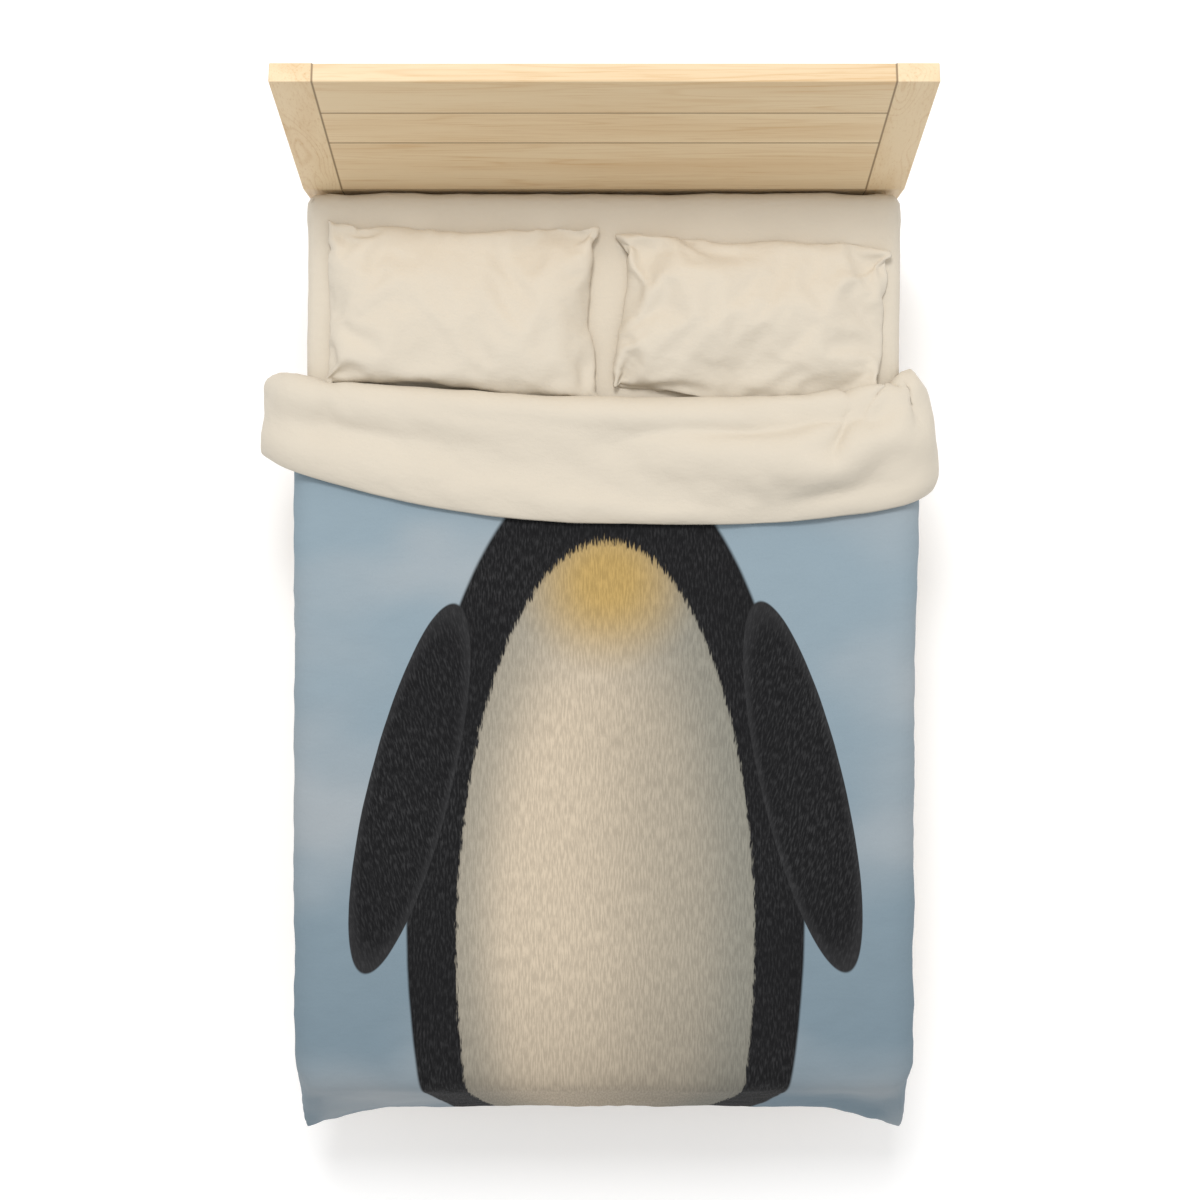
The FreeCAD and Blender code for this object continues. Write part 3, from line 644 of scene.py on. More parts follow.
@dataclass(frozen=True)
class PenguinPrint:
    """A plain penguin seen from the front, made of ovals, on a cloudy blue ground.

    Attributes:
        body: the whole bird's outline.
        belly: the pale front.
        bib: the yellow at the top of the belly.
        flippers: one on each side, hanging from the shoulders.
        edge: half the width of an outline's soft edge, as a share of its oval.
    """

    body: Oval = Oval(0.0, 0.72, 0.46, 1.08)
    belly: Oval = Oval(0.0, 0.66, 0.345, 0.93)
    bib: Oval = Oval(0.0, 1.50, 0.24, 0.24)
    flippers: tuple[Oval, ...] = (Oval(-0.455, 1.02, 0.095, 0.44, -0.24),
                                  Oval(0.455, 1.02, 0.095, 0.44, 0.24))
    edge: float = 0.008
    lit: Colour = (0.56, 0.470, 0.355)
    cream: Colour = (0.45, 0.385, 0.295)
    shaded: Colour = (0.215, 0.215, 0.185)
    yellow: Colour = (0.47, 0.305, 0.085)
    black: Colour = (0.0080, 0.0080, 0.0088)
    glint: Colour = (0.060, 0.060, 0.062)
    water: Colour = (0.265, 0.340, 0.390)
    ice: Colour = (0.430, 0.445, 0.455)
    deep: Colour = (0.175, 0.236, 0.280)

    def streaks(self, g: Graph, flat: bpy.types.NodeSocket, turn: float, wide: float,
                long: float) -> bpy.types.NodeSocket:
        """Fine streaks, from 0 to 1, that run along Y turned by an angle."""
        made = g.node("ShaderNodeMapping", Vector=flat)
        made.vector_type = "TEXTURE"
        made.inputs["Rotation"].default_value = (0.0, 0.0, turn)
        made.inputs["Scale"].default_value = (wide, long, 1.0)
        return g.noise(made.outputs[0], 1.0, 2.0, 0.55)

    def inside(self, g: Graph, far: Value) -> bpy.types.NodeSocket:
        """1 inside an oval and 0 outside it."""
        return g.step(far, 1.0 + self.edge, 1.0 - self.edge)

    def ground(self, g: Graph, y: Value, flat: bpy.types.NodeSocket) -> bpy.types.NodeSocket:
        """Cloudy blue that deepens towards the foot."""
        clouds = g.noise(g.stretched(flat, (1.0, 1.5, 1.0)), 1.7, 2.0, 0.4)
        colour = g.mix(g.step(y, 1.6, 0.1), self.water, self.deep)
        return g.mix(g.sum("MULTIPLY", g.step(clouds, 0.42, 0.72), 0.6), colour, self.ice)

    def front(self, g: Graph, x: Value, y: Value, belly: Value,
              down: Value) -> bpy.types.NodeSocket:
        """The pale front: lit from the left, darker round its rim, yellow at the top.

        Args:
            g: the material's graph.
            x: across.
            y: up.
            belly: how far out in the belly's oval.
            down: the streaks.

        Returns:
            The colour.
        """
        colour = g.mix(g.step(x, 0.12, -0.14), self.cream, self.lit)
        colour = g.mix(g.sum("MULTIPLY", g.step(x, -0.02, 0.32), 0.55), colour, self.shaded)
        colour = g.mix(g.sum("MULTIPLY", g.step(belly, 0.60, 1.0), 0.65), colour, self.shaded)
        bib = g.step(self.bib.far(g, x, y), 1.0, 0.15)
        colour = g.mix(g.sum("MULTIPLY", bib, 0.85), colour, self.yellow)
        colour = g.shade(colour, g.sum("MULTIPLY_ADD", g.step(y, 0.70, 0.20), -0.25, 1.0))
        return g.shade(colour, g.sum("MULTIPLY_ADD", g.step(down, 0.35, 0.68), 0.26, 0.87))

    def coat(self, g: Graph, flat: bpy.types.NodeSocket, soft: Value,
             turn: float) -> bpy.types.NodeSocket:
        """Black down with short glints along it."""
        fine = g.step(self.streaks(g, flat, turn, 0.0040, 0.020), 0.40, 0.80)
        return g.mix(g.sum("MULTIPLY", fine, soft), self.black, self.glint)

    def paint(self, g: Graph, width: float, length: float) -> bpy.types.NodeSocket:
        """Paints the picture.

        Args:
            g: the material's graph.
            width: the cloth's width, in metres.
            length: its length.

        Returns:
            The colour.
        """
        flat = g.stretched(g.place(uv=True), (width, length, 1.0), shift=(-width / 2, 0.0, 0.0))
        x, y, _ = g.axes(flat)
        down = self.streaks(g, flat, 0.0, 0.0038, 0.030)
        ragged = g.sum("MULTIPLY_ADD", down, 0.07, -0.035)
        soft = g.noise(flat, 2.6, 2.0)

        colour = self.ground(g, y, flat)
        body = self.inside(g, self.body.far(g, x, y))
        colour = g.mix(body, colour, self.coat(g, flat, soft, 0.0))
        belly = g.sum("ADD", self.belly.far(g, x, y), ragged)
        colour = g.mix(self.inside(g, belly), colour, self.front(g, x, y, belly, down))
        for flipper in self.flippers:
            far = flipper.far(g, x, y)
            feathered = self.coat(g, flat, soft, -flipper.lean)
            rim = g.sum("MULTIPLY", g.step(far, 0.80, 1.0), 0.30)
            feathered = g.mix(rim, feathered, self.glint)
            colour = g.mix(self.inside(g, far), colour, feathered)
        return colour


@dataclass(frozen=True)
class Finishes:
    """The bed's finishes, one of each."""

    maple: Wood = Wood((0.80, 0.63, 0.40), (0.64, 0.43, 0.22), 0.40, 0.48)
    pine: Wood = Wood((0.72, 0.56, 0.36), (0.56, 0.38, 0.20), 0.45, 0.62)
    bedding: Cotton = Cotton((0.655, 0.590, 0.488), sheen=0.08)
    print_ground: Cotton = Cotton((0.655, 0.590, 0.488), sheen=0.0, gloss=0.15)
    ticking: Cotton = Cotton((0.70, 0.69, 0.66), 0.0016)
    steel: Metal = Metal((0.60, 0.61, 0.62))
    slider: Metal = Metal((0.78, 0.77, 0.74), 0.22)
    felt: Pile = Pile((0.16, 0.13, 0.11), 0.002)
    foam: Pile = Pile((0.72, 0.68, 0.52), 0.003)


FINISH = Finishes()


# ---- bedstead ------------------------------------------------------------------------------
@dataclass
class Bedstead:
    """The wooden frame and its fasteners, which keep their CAD shapes."""

    slat_count: int = 13
    rake: float = math.radians(13.6)

    def joints(self, node: str) -> tuple[Joint, ...]:
        """Where a headboard board meets its neighbours.

        Args:
            node: the board.

        Returns:
            The joints at its two long edges and its two ends, or at a post's inner side.
        """
        if not node.startswith("headboard_"):
            return ()
        points = [point.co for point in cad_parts[node].data.vertices]
        if "post" in node:
            inner = min((point.x for point in points), key=abs)
            return (Joint(Vector((1.0, 0.0, 0.0)), inner),)
        if "plank" not in node:
            return ()
        up = Vector((0.0, math.sin(self.rake), math.cos(self.rake)))
        found = []
        for across in (up, Vector((1.0, 0.0, 0.0))):
            places = [point.dot(across) for point in points]
            found += [Joint(across, min(places)), Joint(across, max(places))]
        if node == "headboard_top_plank":
            del found[1]
        return tuple(found)

    def square_edges(self, board: bpy.types.Object) -> None:
        """Shades a board's flat faces flat, so its chamfers show."""
        take(board)
        bpy.ops.mesh.customdata_custom_splitnormals_clear()
        bpy.ops.object.shade_flat()

    def dress(self) -> None:
        """Gives every board its own timber and every fastener its metal."""
        maple, pine = FINISH.maple, FINISH.pine
        boards = (("headboard_top_plank", Grain.ALONG_X),
                  ("headboard_middle_plank", Grain.ALONG_X),
                  ("headboard_lower_plank", Grain.ALONG_X),
                  ("headboard_base_board", Grain.ALONG_X),
                  ("head_rail", Grain.ALONG_X), ("foot_rail", Grain.ALONG_X),
                  ("headboard_splines", Grain.ALONG_X), ("headboard_post_left", Grain.ALONG_Z),
                  ("headboard_post_right", Grain.ALONG_Z), ("side_rail_left", Grain.ALONG_Y),
                  ("side_rail_right", Grain.ALONG_Y), ("foot_leg_left", Grain.ALONG_Z),
                  ("foot_leg_right", Grain.ALONG_Z))
        for number, (node, grain) in enumerate(boards, 1):
            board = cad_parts[node]
            self.square_edges(board)
            dress(board, maple.board(f"maple_{node}", grain, number * 0.83, self.joints(node)))
        turned = maple.board("maple_centre_legs", Grain.ALONG_Z, 12.4)
        for number in (1, 2, 3):
            dress(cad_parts[f"centre_leg_{number}"], turned)
        slats = pine.board("pine_slats", Grain.ALONG_X, 3.3)
        for number in range(1, self.slat_count + 1):
            self.square_edges(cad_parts[f"slat_{number:02d}"])
            dress(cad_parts[f"slat_{number:02d}"], slats)
        strips = pine.board("pine_strips", Grain.ALONG_Y, 5.9)
        for node in ("slat_ledge_left", "slat_ledge_right", "centre_beam"):
            self.square_edges(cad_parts[node])
            dress(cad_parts[node], strips)
        dress(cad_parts["headboard_dowels"], pine.board("beech_dowels", Grain.ALONG_X, 8.2))
        steel = FINISH.steel.made("zinc_plated_steel")
        for node in ("bed_bolts", "barrel_nuts", "leg_bolts", "threaded_inserts", "slat_screws",
                     "ledge_screws", "centre_leg_bolts", "beam_hanger_foot", "beam_hanger_head"):
            dress(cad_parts[node], steel)
        dress(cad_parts["foot_pads"], FINISH.felt.made("wool_felt"))
        log.info("bedstead dressed")


# ---- mattress and sheet --------------------------------------------------------------------
@dataclass
class Bed:
    """The mattress in its fitted sheet."""

    cell: float = 0.016
    corner: float = 0.032
    edge: float = 0.027
    tuck: float = 0.090
    wall: float = 0.002
    low: Vector = field(default_factory=lambda: Vector(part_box("fitted_sheet")[0]))
    high: Vector = field(default_factory=lambda: Vector(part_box("fitted_sheet")[1]))

    def box_grid(self, name: str) -> bpy.types.Object:
        """A box the sheet's size, cut into squares.

        Args:
            name: the object's name.

        Returns:
            The box.
        """
        deselect_all()
        size = self.high - self.low
        middle = (self.high + self.low) / 2
        bpy.ops.mesh.primitive_cube_add(size=1.0, location=middle)
        obj = named(name)
        obj.scale = size
        take(obj)
        bpy.ops.object.transform_apply(location=True, rotation=True, scale=True)
        bpy.ops.object.mode_set(mode="EDIT")
        bpy.ops.mesh.select_mode(type="EDGE")
        for axis in range(3):
            bpy.ops.mesh.select_all(action="DESELECT")
            bpy.ops.object.mode_set(mode="OBJECT")
            points = obj.data.vertices
            for line in obj.data.edges:
                run = points[line.vertices[1]].co - points[line.vertices[0]].co
                line.select = abs(run[axis]) > 0.999 * run.length
            bpy.ops.object.mode_set(mode="EDIT")
            bpy.ops.mesh.subdivide(number_cuts=round(size[axis] / self.cell) - 1)
        bpy.ops.object.mode_set(mode="OBJECT")
        return obj

    def rounded(self, point: Vector) -> Vector:
        """A point of the square-edged box, moved onto the rounded one.

        Args:
            point: the point.

        Returns:
            Where it goes.
        """
        inner_x, inner_y = self.high.x - self.corner, self.high.y - self.corner
        over = Vector((max(abs(point.x) - inner_x, 0.0), max(abs(point.y) - inner_y, 0.0)))
        out = over * (max(over) / over.length) if over.length > 0 else over
        inwards = self.corner - max(over)
        flat = Vector((math.copysign(min(abs(point.x), inner_x) + out.x, point.x),
                       math.copysign(min(abs(point.y), inner_y) + out.y, point.y)))
        face = 1.0 if point.z > (self.low.z + self.high.z) / 2 else -1.0
        level = self.high.z if face > 0 else self.low.z
        depth = abs(level - point.z)
        a, b = self.edge - inwards, self.edge - depth
        if a <= 0 or b <= 0:
            return Vector((flat.x, flat.y, point.z))
        reach = max(a, b) / math.hypot(a, b)
        normal = self.outwards(point)
        shrink = a - a * reach
        return Vector((flat.x - normal.x * shrink, flat.y - normal.y * shrink,
                       level - face * (self.edge - b * reach)))

    def outwards(self, point: Vector) -> Vector:
        """The level direction out of the box at a point near its side.

        Args:
            point: the point.

        Returns:
            A unit vector.
        """
        inner_x, inner_y = self.high.x - self.corner, self.high.y - self.corner
        x = max(abs(point.x) - inner_x, 0.0)
        y = max(abs(point.y) - inner_y, 0.0)
        if x == 0 and y == 0:
            return Vector((0.0, 0.0, 0.0))
        return Vector((math.copysign(x, point.x), math.copysign(y, point.y), 0.0)).normalized()

    def wrinkle(self, at: Vector) -> float:
        """How far the sheet stands off its even shape.

        Args:
            at: the point on the even shape.

        Returns:
            The distance outwards, in metres.
        """
        top = ease(self.high.z - 0.06, self.high.z - 0.01, at.z)
        soft = noise.noise(Vector((at.x * 5, at.y * 3.2, 2.0)))
        ripples = creases(Vector((at.x * 1.0 + 0.25 * at.y, at.y * 0.28, 0.0)), 9.0, 4.2)
        fine = creases(Vector((at.x * 0.7 - 0.3 * at.y, at.y * 0.6, 0.0)), 21.0, 7.7)
        waves = creases(Vector((at.x * 0.9 + at.y * 0.5, at.y * 0.8 - at.x * 0.4, 3.0)), 2.6, 3.1)
        bare = ease(0.40, 0.56, at.y)
        on_top = bare * (0.0060 * (0.5 + 0.5 * waves + 0.5 * soft) + 0.0012 * ripples)
        on_top += 0.0007 * ripples + 0.0006 * fine
        corner = Vector((abs(at.x) - self.high.x, abs(at.y) - self.high.y))
        near = math.exp(-(corner.length / 0.22) ** 2)
        fan = math.sin(26 * math.atan2(corner.y - 0.02, corner.x - 0.02))
        on_top += 0.0018 * near * fan
        side = 1 - top
        run = at.x * 1.0 if abs(at.y) > self.high.y - 0.08 else at.y
        hang = ease(self.high.z - 0.04, self.low.z, at.z)
        pleats = noise.noise(Vector((run * 16, at.z * 2.0, 5.0))) * (0.3 + hang)
        pulls = creases(Vector((run * 0.8, at.z * 1.8 + run * 0.25, 1.0)), 10.0, 2.2)
        return top * on_top + side * (0.0030 * pleats + 0.0014 * pulls) + 0.0006

    def build(self) -> bpy.types.Object:
        """Makes the fitted sheet.

        Returns:
            The sheet.
        """
        sheet = self.box_grid("fitted_sheet_cloth")
        points = sheet.data.vertices
        hem = Vector((self.high.x - self.tuck, self.high.y - self.tuck))
        take(sheet)
        bpy.ops.object.mode_set(mode="EDIT")
        bpy.ops.mesh.select_mode(type="FACE")
        bpy.ops.mesh.select_all(action="DESELECT")
        bpy.ops.object.mode_set(mode="OBJECT")
        for face in sheet.data.polygons:
            at = face.center
            face.select = (face.normal.z < -0.9 and abs(at.x) < hem.x and abs(at.y) < hem.y)
        bpy.ops.object.mode_set(mode="EDIT")
        bpy.ops.mesh.delete(type="FACE")
        bpy.ops.object.mode_set(mode="OBJECT")
        for point in points:
            point.co = self.rounded(point.co)
        sheet.data.update()
        normals = [point.normal.copy() for point in points]
        for point, normal in zip(points, normals):
            under = ease(self.low.z + 0.03, self.low.z + 0.006, point.co.z)
            point.co += normal * self.wrinkle(point.co) * (1 - under)
        wall = sheet.modifiers.new("wall", "SOLIDIFY")
        wall.thickness, wall.offset = self.wall, -1.0
        apply_all(sheet)
        shade_smooth(sheet)
        self.lay_out(sheet)
        dress(sheet, FINISH.bedding.plain("fitted_sheet_cotton", 2.0, 2.0))
        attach(sheet, "mattress")
        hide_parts("fitted_sheet")
        return sheet

    def lay_out(self, sheet: bpy.types.Object) -> None:
        """Gives the sheet a UV map as if laid flat, two metres to a unit.

        Args:
            sheet: the sheet.
        """
        layer = sheet.data.uv_layers[0] if sheet.data.uv_layers else sheet.data.uv_layers.new()
        points = sheet.data.vertices
        for corner in sheet.data.loops:
            at = points[corner.vertex_index].co
            drop = self.high.z - at.z
            x = at.x + math.copysign(drop, at.x) * (abs(at.x) > self.high.x - self.edge)
            y = at.y + math.copysign(drop, at.y) * (abs(at.y) > self.high.y - self.edge)
            layer.data[corner.index].uv = (0.5 + x / 2, 0.5 + y / 2)

    def solid(self, name: str, stand_off: float) -> bpy.types.Object:
        """A plain rounded block that cloth can lie on.

        Args:
            name: its name.
            stand_off: how much larger than the sheet it is.

        Returns:
            The block.
        """
        block = Bed(cell=0.030, corner=self.corner + stand_off, edge=self.edge + stand_off,
                    low=self.low - Vector((stand_off, stand_off, 0.0)),
                    high=self.high + Vector((stand_off, stand_off, stand_off)))
        obj = block.box_grid(name)
        for point in obj.data.vertices:
            point.co = block.rounded(point.co)
        return obj

    def dress(self) -> None:
        """Gives the mattress's own pieces their finishes."""
        ticking = Graph("quilted_ticking")
        at = ticking.place()
        x, y, _ = ticking.axes(at)
        turn = math.pi / 0.11
        rising = ticking.sum("MULTIPLY", ticking.sum("ADD", x, y), turn)
        falling = ticking.sum("MULTIPLY", ticking.sum("SUBTRACT", x, y), turn)
        quilt = ticking.sum("ABSOLUTE", ticking.sum("MULTIPLY", ticking.sum("SINE", rising),
                                                    ticking.sum("SINE", falling)))
        soft = ticking.sum("POWER", quilt, 0.4)
        threads = ticking.noise(at, 900.0, 2.0)
        height = ticking.sum("ADD", soft, ticking.sum("MULTIPLY", threads, 0.05))
        clean = FINISH.ticking.colour
        colour = ticking.mix(threads, clean, tuple(c * 0.93 for c in clean))
        dress(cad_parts["mattress_cover"],
              ticking.finish(colour, 0.9, height, 0.006, Sheen_Weight=0.1))
        foam = FINISH.foam.made("cut_foam")
        for node in ("mattress_comfort_layer", "mattress_support_core"):
            dress(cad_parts[node], foam)
        band = Graph("elastic_band")
        ribs = band.noise(band.stretched(band.place(), (300.0, 300.0, 300.0)), 1.0, 2.0)
        colour = band.mix(ribs, (0.68, 0.65, 0.57), (0.58, 0.55, 0.48))
        dress(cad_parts["fitted_sheet_elastic"], band.finish(colour, 0.8, ribs, 0.0004))
        log.info("mattress dressed")


# ---- pillows -------------------------------------------------------------------------------
@dataclass
class Pillow:
    """A filled pillowcase."""

    side: str
    turn: float
    seed: float
    shift: tuple[float, float] = (0.0, 0.0)
    width: float = 0.666
    depth: float = 0.441
    height: float = 0.112
    seam: float = 0.040
    waist: tuple[float, float] = (0.085, 0.165)
    cells: tuple[int, int] = (62, 42)

    def shape(self, u: float, v: float, face: float) -> Vector:
        """A point of the plump case, from its own middle at the level it rests on.

        Args:
            u: the place across the case, -1 to 1.
            v: the place along the case, -1 to 1.
            face: 1 on the upper face and -1 on the lower.

        Returns:
            The point.
        """
        x = u * self.width / 2 * (1 - self.waist[0] * (1 - v * v))
        inward = 1 - u * u * (1.0 if v > 0 else 0.35)
        y = v * self.depth / 2 * (1 - self.waist[1] * inward)
        full = ((1 - u ** 4) * (1 - abs(v) ** 3.4)) ** 0.72
        lump = noise.noise(Vector((u * 2.6 + self.seed, v * 2.2, self.seed)))
        lump += 0.5 * noise.noise(Vector((u * 6.0, v * 5.0 + self.seed, self.seed)))
        thick = 0.004 + (self.height - self.seam) * full * (1 + 0.04 * lump)
        ears = 0.012 * (u * v) ** 6
        return Vector((x, y, max(self.seam + ears + face * thick, 0.004)))

    def case(self) -> bpy.types.Object:
        """The filled case in its place, ready to be settled.

        Returns:
            The case.
        """
        low, high = (Vector(corner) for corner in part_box(f"pillowcase_{self.side}"))
        middle = (low + high) / 2
        case = grid(f"pillow_{self.side}", *self.cells)
        places = [(point.co.x, point.co.y) for point in case.data.vertices]
        wall = case.modifiers.new("wall", "SOLIDIFY")
        wall.thickness, wall.offset = 0.008, 0.0
        apply_all(case)
        turn = math.radians(-self.turn)
        for number, point in enumerate(case.data.vertices):
            at = self.shape(*places[number % len(places)], 1.0 if point.co.z > 0 else -1.0)
            x, y = at.x, at.y
            point.co = (middle.x + self.shift[0] + x * math.cos(turn) - y * math.sin(turn),
                        middle.y + self.shift[1] + x * math.sin(turn) + y * math.cos(turn),
                        low.z + at.z)
        return case

    def fill(self, case: bpy.types.Object) -> None:
        """Makes the case a cloth that its filling pushes out.

        Args:
            case: the case.
        """
        cloth = Fabric(mass=0.10, stretch=25.0, shear=12.0, bend=1.0, clearance=0.003).put_on(case)
        cloth.settings.use_pressure = True
        cloth.settings.uniform_pressure_force = 4.0
        cloth.settings.effector_weights.gravity = 0.5

    def finish(self, case: bpy.types.Object) -> bpy.types.Object:
        """Smooths the filled case and adds its fine creases.

        Args:
            case: the case.

        Returns:
            The pillow.
        """
        inside = case.vertex_groups.new(name="inside")
        points = case.data.vertices
        middle = sum((point.co for point in points), Vector()) / len(points)
        for point in points:
            at = point.co - middle
            rim = max(abs(at.x) / (self.width / 2), abs(at.y) / (self.depth / 2))
            inside.add([point.index], ease(0.98, 0.62, rim), "REPLACE")
        press = case.modifiers.new("press", "SMOOTH")
        press.factor, press.iterations, press.vertex_group = 0.5, 3, "inside"
        fine = case.modifiers.new("fine", "SUBSURF")
        fine.levels = fine.render_levels = 1
        apply_all(case)
        points = case.data.vertices
        normals = [point.normal.copy() for point in points]
        for point, normal in zip(points, normals):
            at = point.co - middle
            rim = ease(0.5, 1.0, max(abs(at.x) / (self.width / 2), abs(at.y) / (self.depth / 2)))
            folds = creases(Vector((at.x, at.y * 0.45, at.z)), 14.0, self.seed)
            small = creases(Vector((at.x * 0.8 + at.y * 0.4, at.y * 0.8, at.z)), 30.0,
                            self.seed * 2)
            point.co += normal * (0.0015 * folds + 0.0008 * small) * (0.30 + 0.9 * rim)
        shade_smooth(case)
        dress(case, FINISH.bedding.plain(f"pillowcase_cotton_{self.side}", self.width, self.depth))
        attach(case, f"pillow_{self.side}")
        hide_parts(f"pillowcase_{self.side}", f"pillow_insert_{self.side}")
        top = max(point.co.z for point in points) - min(point.co.z for point in points)
        log.info("pillow %s: %d faces, %.3f m high", self.side, len(case.data.polygons), top)
        return case


# ---- duvet ---------------------------------------------------------------------------------
@dataclass
class Duvet:
    """The filled duvet cover, draped over the bed with its top end turned down.

    A place on the flat duvet is (across, down): across from its middle, and down from the hem of
    its turned-down end to its foot hem. A pair of numbers is for the left side and the right.

    Attributes:
        bed: what it lies on.
        width: of the cover laid flat, in metres like every length here.
        length: and its length.
        cell: the size of its mesh's squares.
        thick: where it is fullest.
        hem_share: how much of that is left at a hem.
        hem_reach: how far in from a hem it is full.
        layer: height of its middle over the sheet.
        turn_radius: of its middle where it turns back at the crease.
        foot_radius: of the bend at the foot.
        foot_slope: how steeply it hangs at the foot.
        side_slope: and at the sides.
        flap_slopes: and where it is turned down.
        ear: the fold at a foot corner, as the turn round it and the angles out and down there.
        flare: how far out the foot hem's ends swing.
        crease: Y of the crease, from the CAD.
        hem_y: Y of the foot hem, from the CAD.
        hem_z: and its height.
        frames: how long it settles.
        weight: gravity's share while it does.
        corner_hold: how firmly a foot corner keeps its fold.
        end_hold: how firmly the turned-down part's ends keep their place.
        half: how far out the crease and its hem are bent back by as much as lifts and skews say.
        lifts: how far back the crease bends.
        skews: how much longer the turned-down part is there, as a share.
        hollow: how far back the long hollow starts, and how much further on the right.
        sunk: the hollow's depth for each crease radius of height.
        swell: height of the turned-down part's bulge.
        spread: how much less steep the sides are at the foot, in radians.
        waver: how much the hanging sides' slope varies, in radians.
        ripple: height of the bumps in its top.
        zip_half: half of the zip's length.
        divider_wall: of the arch inside the crease.
        form_wall: of the slope under the foot end.
        pillow_gap: how far it stays off the pillows.
    """

    bed: Bed
    width: float = 1.727
    length: float = 2.235
    cell: float = 0.0225
    thick: float = 0.034
    hem_share: float = 0.13
    hem_reach: float = 0.095
    layer: float = 0.018
    turn_radius: float = 0.033
    foot_radius: float = 0.050
    foot_slope: float = math.radians(70.0)
    side_slope: float = math.radians(84.0)
    flap_slopes: tuple[float, float] = (math.radians(58.0), math.radians(79.0))
    ear: tuple[tuple[float, float, float], ...] = (
        (0.0, 0.0, 22.0), (14.0, 3.5, 23.5), (31.0, 9.5, 27.0), (62.0, 8.0, 11.0),
        (90.0, 8.0, 0.0))
    flare: float = 0.034
    crease: float = 0.0
    hem_y: float = 0.0
    hem_z: float = 0.0
    frames: int = 40
    weight: float = 0.4
    corner_hold: float = 0.35
    end_hold: float = 0.40
    half: float = 0.8
    lifts: tuple[float, float] = (0.050, 0.052)
    skews: tuple[float, float] = (-0.12, 0.42)
    hollow: tuple[float, float] = (0.055, 0.20)
    sunk: float = 0.0160
    swell: float = 0.011
    spread: float = math.radians(2.0)
    waver: float = math.radians(3.5)
    ripple: float = 0.0045
    zip_half: float = 0.615
    divider_wall: float = 0.018
    form_wall: float = 0.012
    pillow_gap: float = 0.013

    def __post_init__(self) -> None:
        """Takes the places of the crease and the foot hem from the CAD."""
        high = Vector(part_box("duvet_cover")[1])
        zip_low, zip_high = (Vector(corner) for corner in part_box("zip_chain"))
        self.crease = high.y + 0.010
        self.hem_y = (zip_low.y + zip_high.y) / 2
        self.hem_z = zip_high.z + self.thick * self.hem_share / 2

    @property
    def rest_z(self) -> float:
        """Height of the duvet's middle where it lies on the sheet."""
        return self.bed.high.z + self.layer

    @property
    def foot_run(self) -> float:
        """Length of the straight part that hangs at the foot."""
        fall = self.rest_z - self.foot_radius * (1 - math.cos(self.foot_slope)) - self.hem_z
        return fall / math.sin(self.foot_slope)

    @property
    def foot_edge(self) -> float:
        """Where the duvet starts to bend down at the foot."""
        return (self.hem_y + self.foot_radius * math.sin(self.foot_slope)
                + self.foot_run * math.cos(self.foot_slope))

    def nose(self, across: float) -> float:
        """Where the middle of the duvet turns back at the crease.

        Args:
            across: the place across.

        Returns:
            Its Y.
        """
        lift = self.lifts[across >= 0]
        return self.crease - self.thick / 2 + lift * (abs(across) / self.half) ** 2

    def valley(self, across: float) -> float:
        """How far back from the crease the turned-down part has sunk."""
        return self.hollow[0] + self.hollow[1] * ease(-0.75, 0.65, across)

    def sag(self, across: float, back: float, turns: float) -> float:
        """Height over the layer below, as many crease radii at the crease and less further back.

        Args:
            across: the place across.
            back: how far back from the crease.
            turns: the height at the crease, in crease radii.

        Returns:
            The height.
        """
        valley = self.valley(across)
        drop = self.sunk * turns * ease(0.2 * valley, valley, back) * ease(0.84, 0.60, abs(across))
        return self.turn_radius * turns - drop

    def profile(self, across: float, down: float) -> tuple[float, float]:
        """Where a point lies along the bed.

        Args:
            across: the place across.
            down: the place down.

        Returns:
            Y, and the height over the sheet.
        """
        arc = self.foot_radius * self.foot_slope
        centre = self.nose(across) - self.turn_radius
        turn = math.pi * self.turn_radius
        body = centre - self.foot_edge
        flap = self.length - turn - body - arc - self.foot_run
        if down < flap:
            skew = (across / self.half) ** 2 * self.skews[across > 0]
            back = (flap - down) * (1 + skew)
            swell = self.swell * math.sin(math.pi * ease(self.valley(across), flap, back))
            return centre - back, self.layer + self.sag(across, back, 2.0) + swell
        down -= flap
        if down < turn:
            angle = down / self.turn_radius
            return (centre + self.turn_radius * math.sin(angle),
                    self.layer + self.turn_radius * (1 + math.cos(angle)))
        down -= turn
        if down < body:
            return centre - down, self.layer
        down -= body
        angle = min(down / self.foot_radius, self.foot_slope)
        rest = max(down - arc, 0.0)
        flare = self.flare * ease(0.54, 0.67, abs(across)) * rest / self.foot_run
        reached = self.foot_edge - self.foot_radius * math.sin(angle) - rest * math.cos(angle)
        return (reached - flare,
                self.layer - self.foot_radius * (1 - math.cos(angle)) - rest * math.sin(angle))

    def drape(self, across: float, y: float, height: float) -> Vector:
        """Bends a point down at the side of the bed.

        Args:
            across: the place across.
            y: the place along the bed.
            height: over the sheet, before it is bent down.

        Returns:
            The point.
        """
        edge = self.bed.edge
        start = self.bed.high.x - edge
        folded = ease(self.layer, self.layer + 2 * self.turn_radius, height)
        slope = self.side_slope - self.spread * ease(-0.60, -1.0, y)
        slope += (self.flap_slopes[across > 0] - slope) * folded
        slope += self.waver * noise.noise(Vector((y * 4.5, across, 6.0)))
        over = abs(across) - start
        if over <= 0:
            return Vector((across, y, self.bed.high.z + height))
        radius = edge + height
        angle = min(over / radius, slope)
        rest = max(over - radius * angle, 0.0)
        x = start + radius * math.sin(angle) + rest * math.cos(angle)
        z = self.bed.high.z - edge + radius * math.cos(angle) - rest * math.sin(angle)
        return Vector((math.copysign(x, across), y, z))

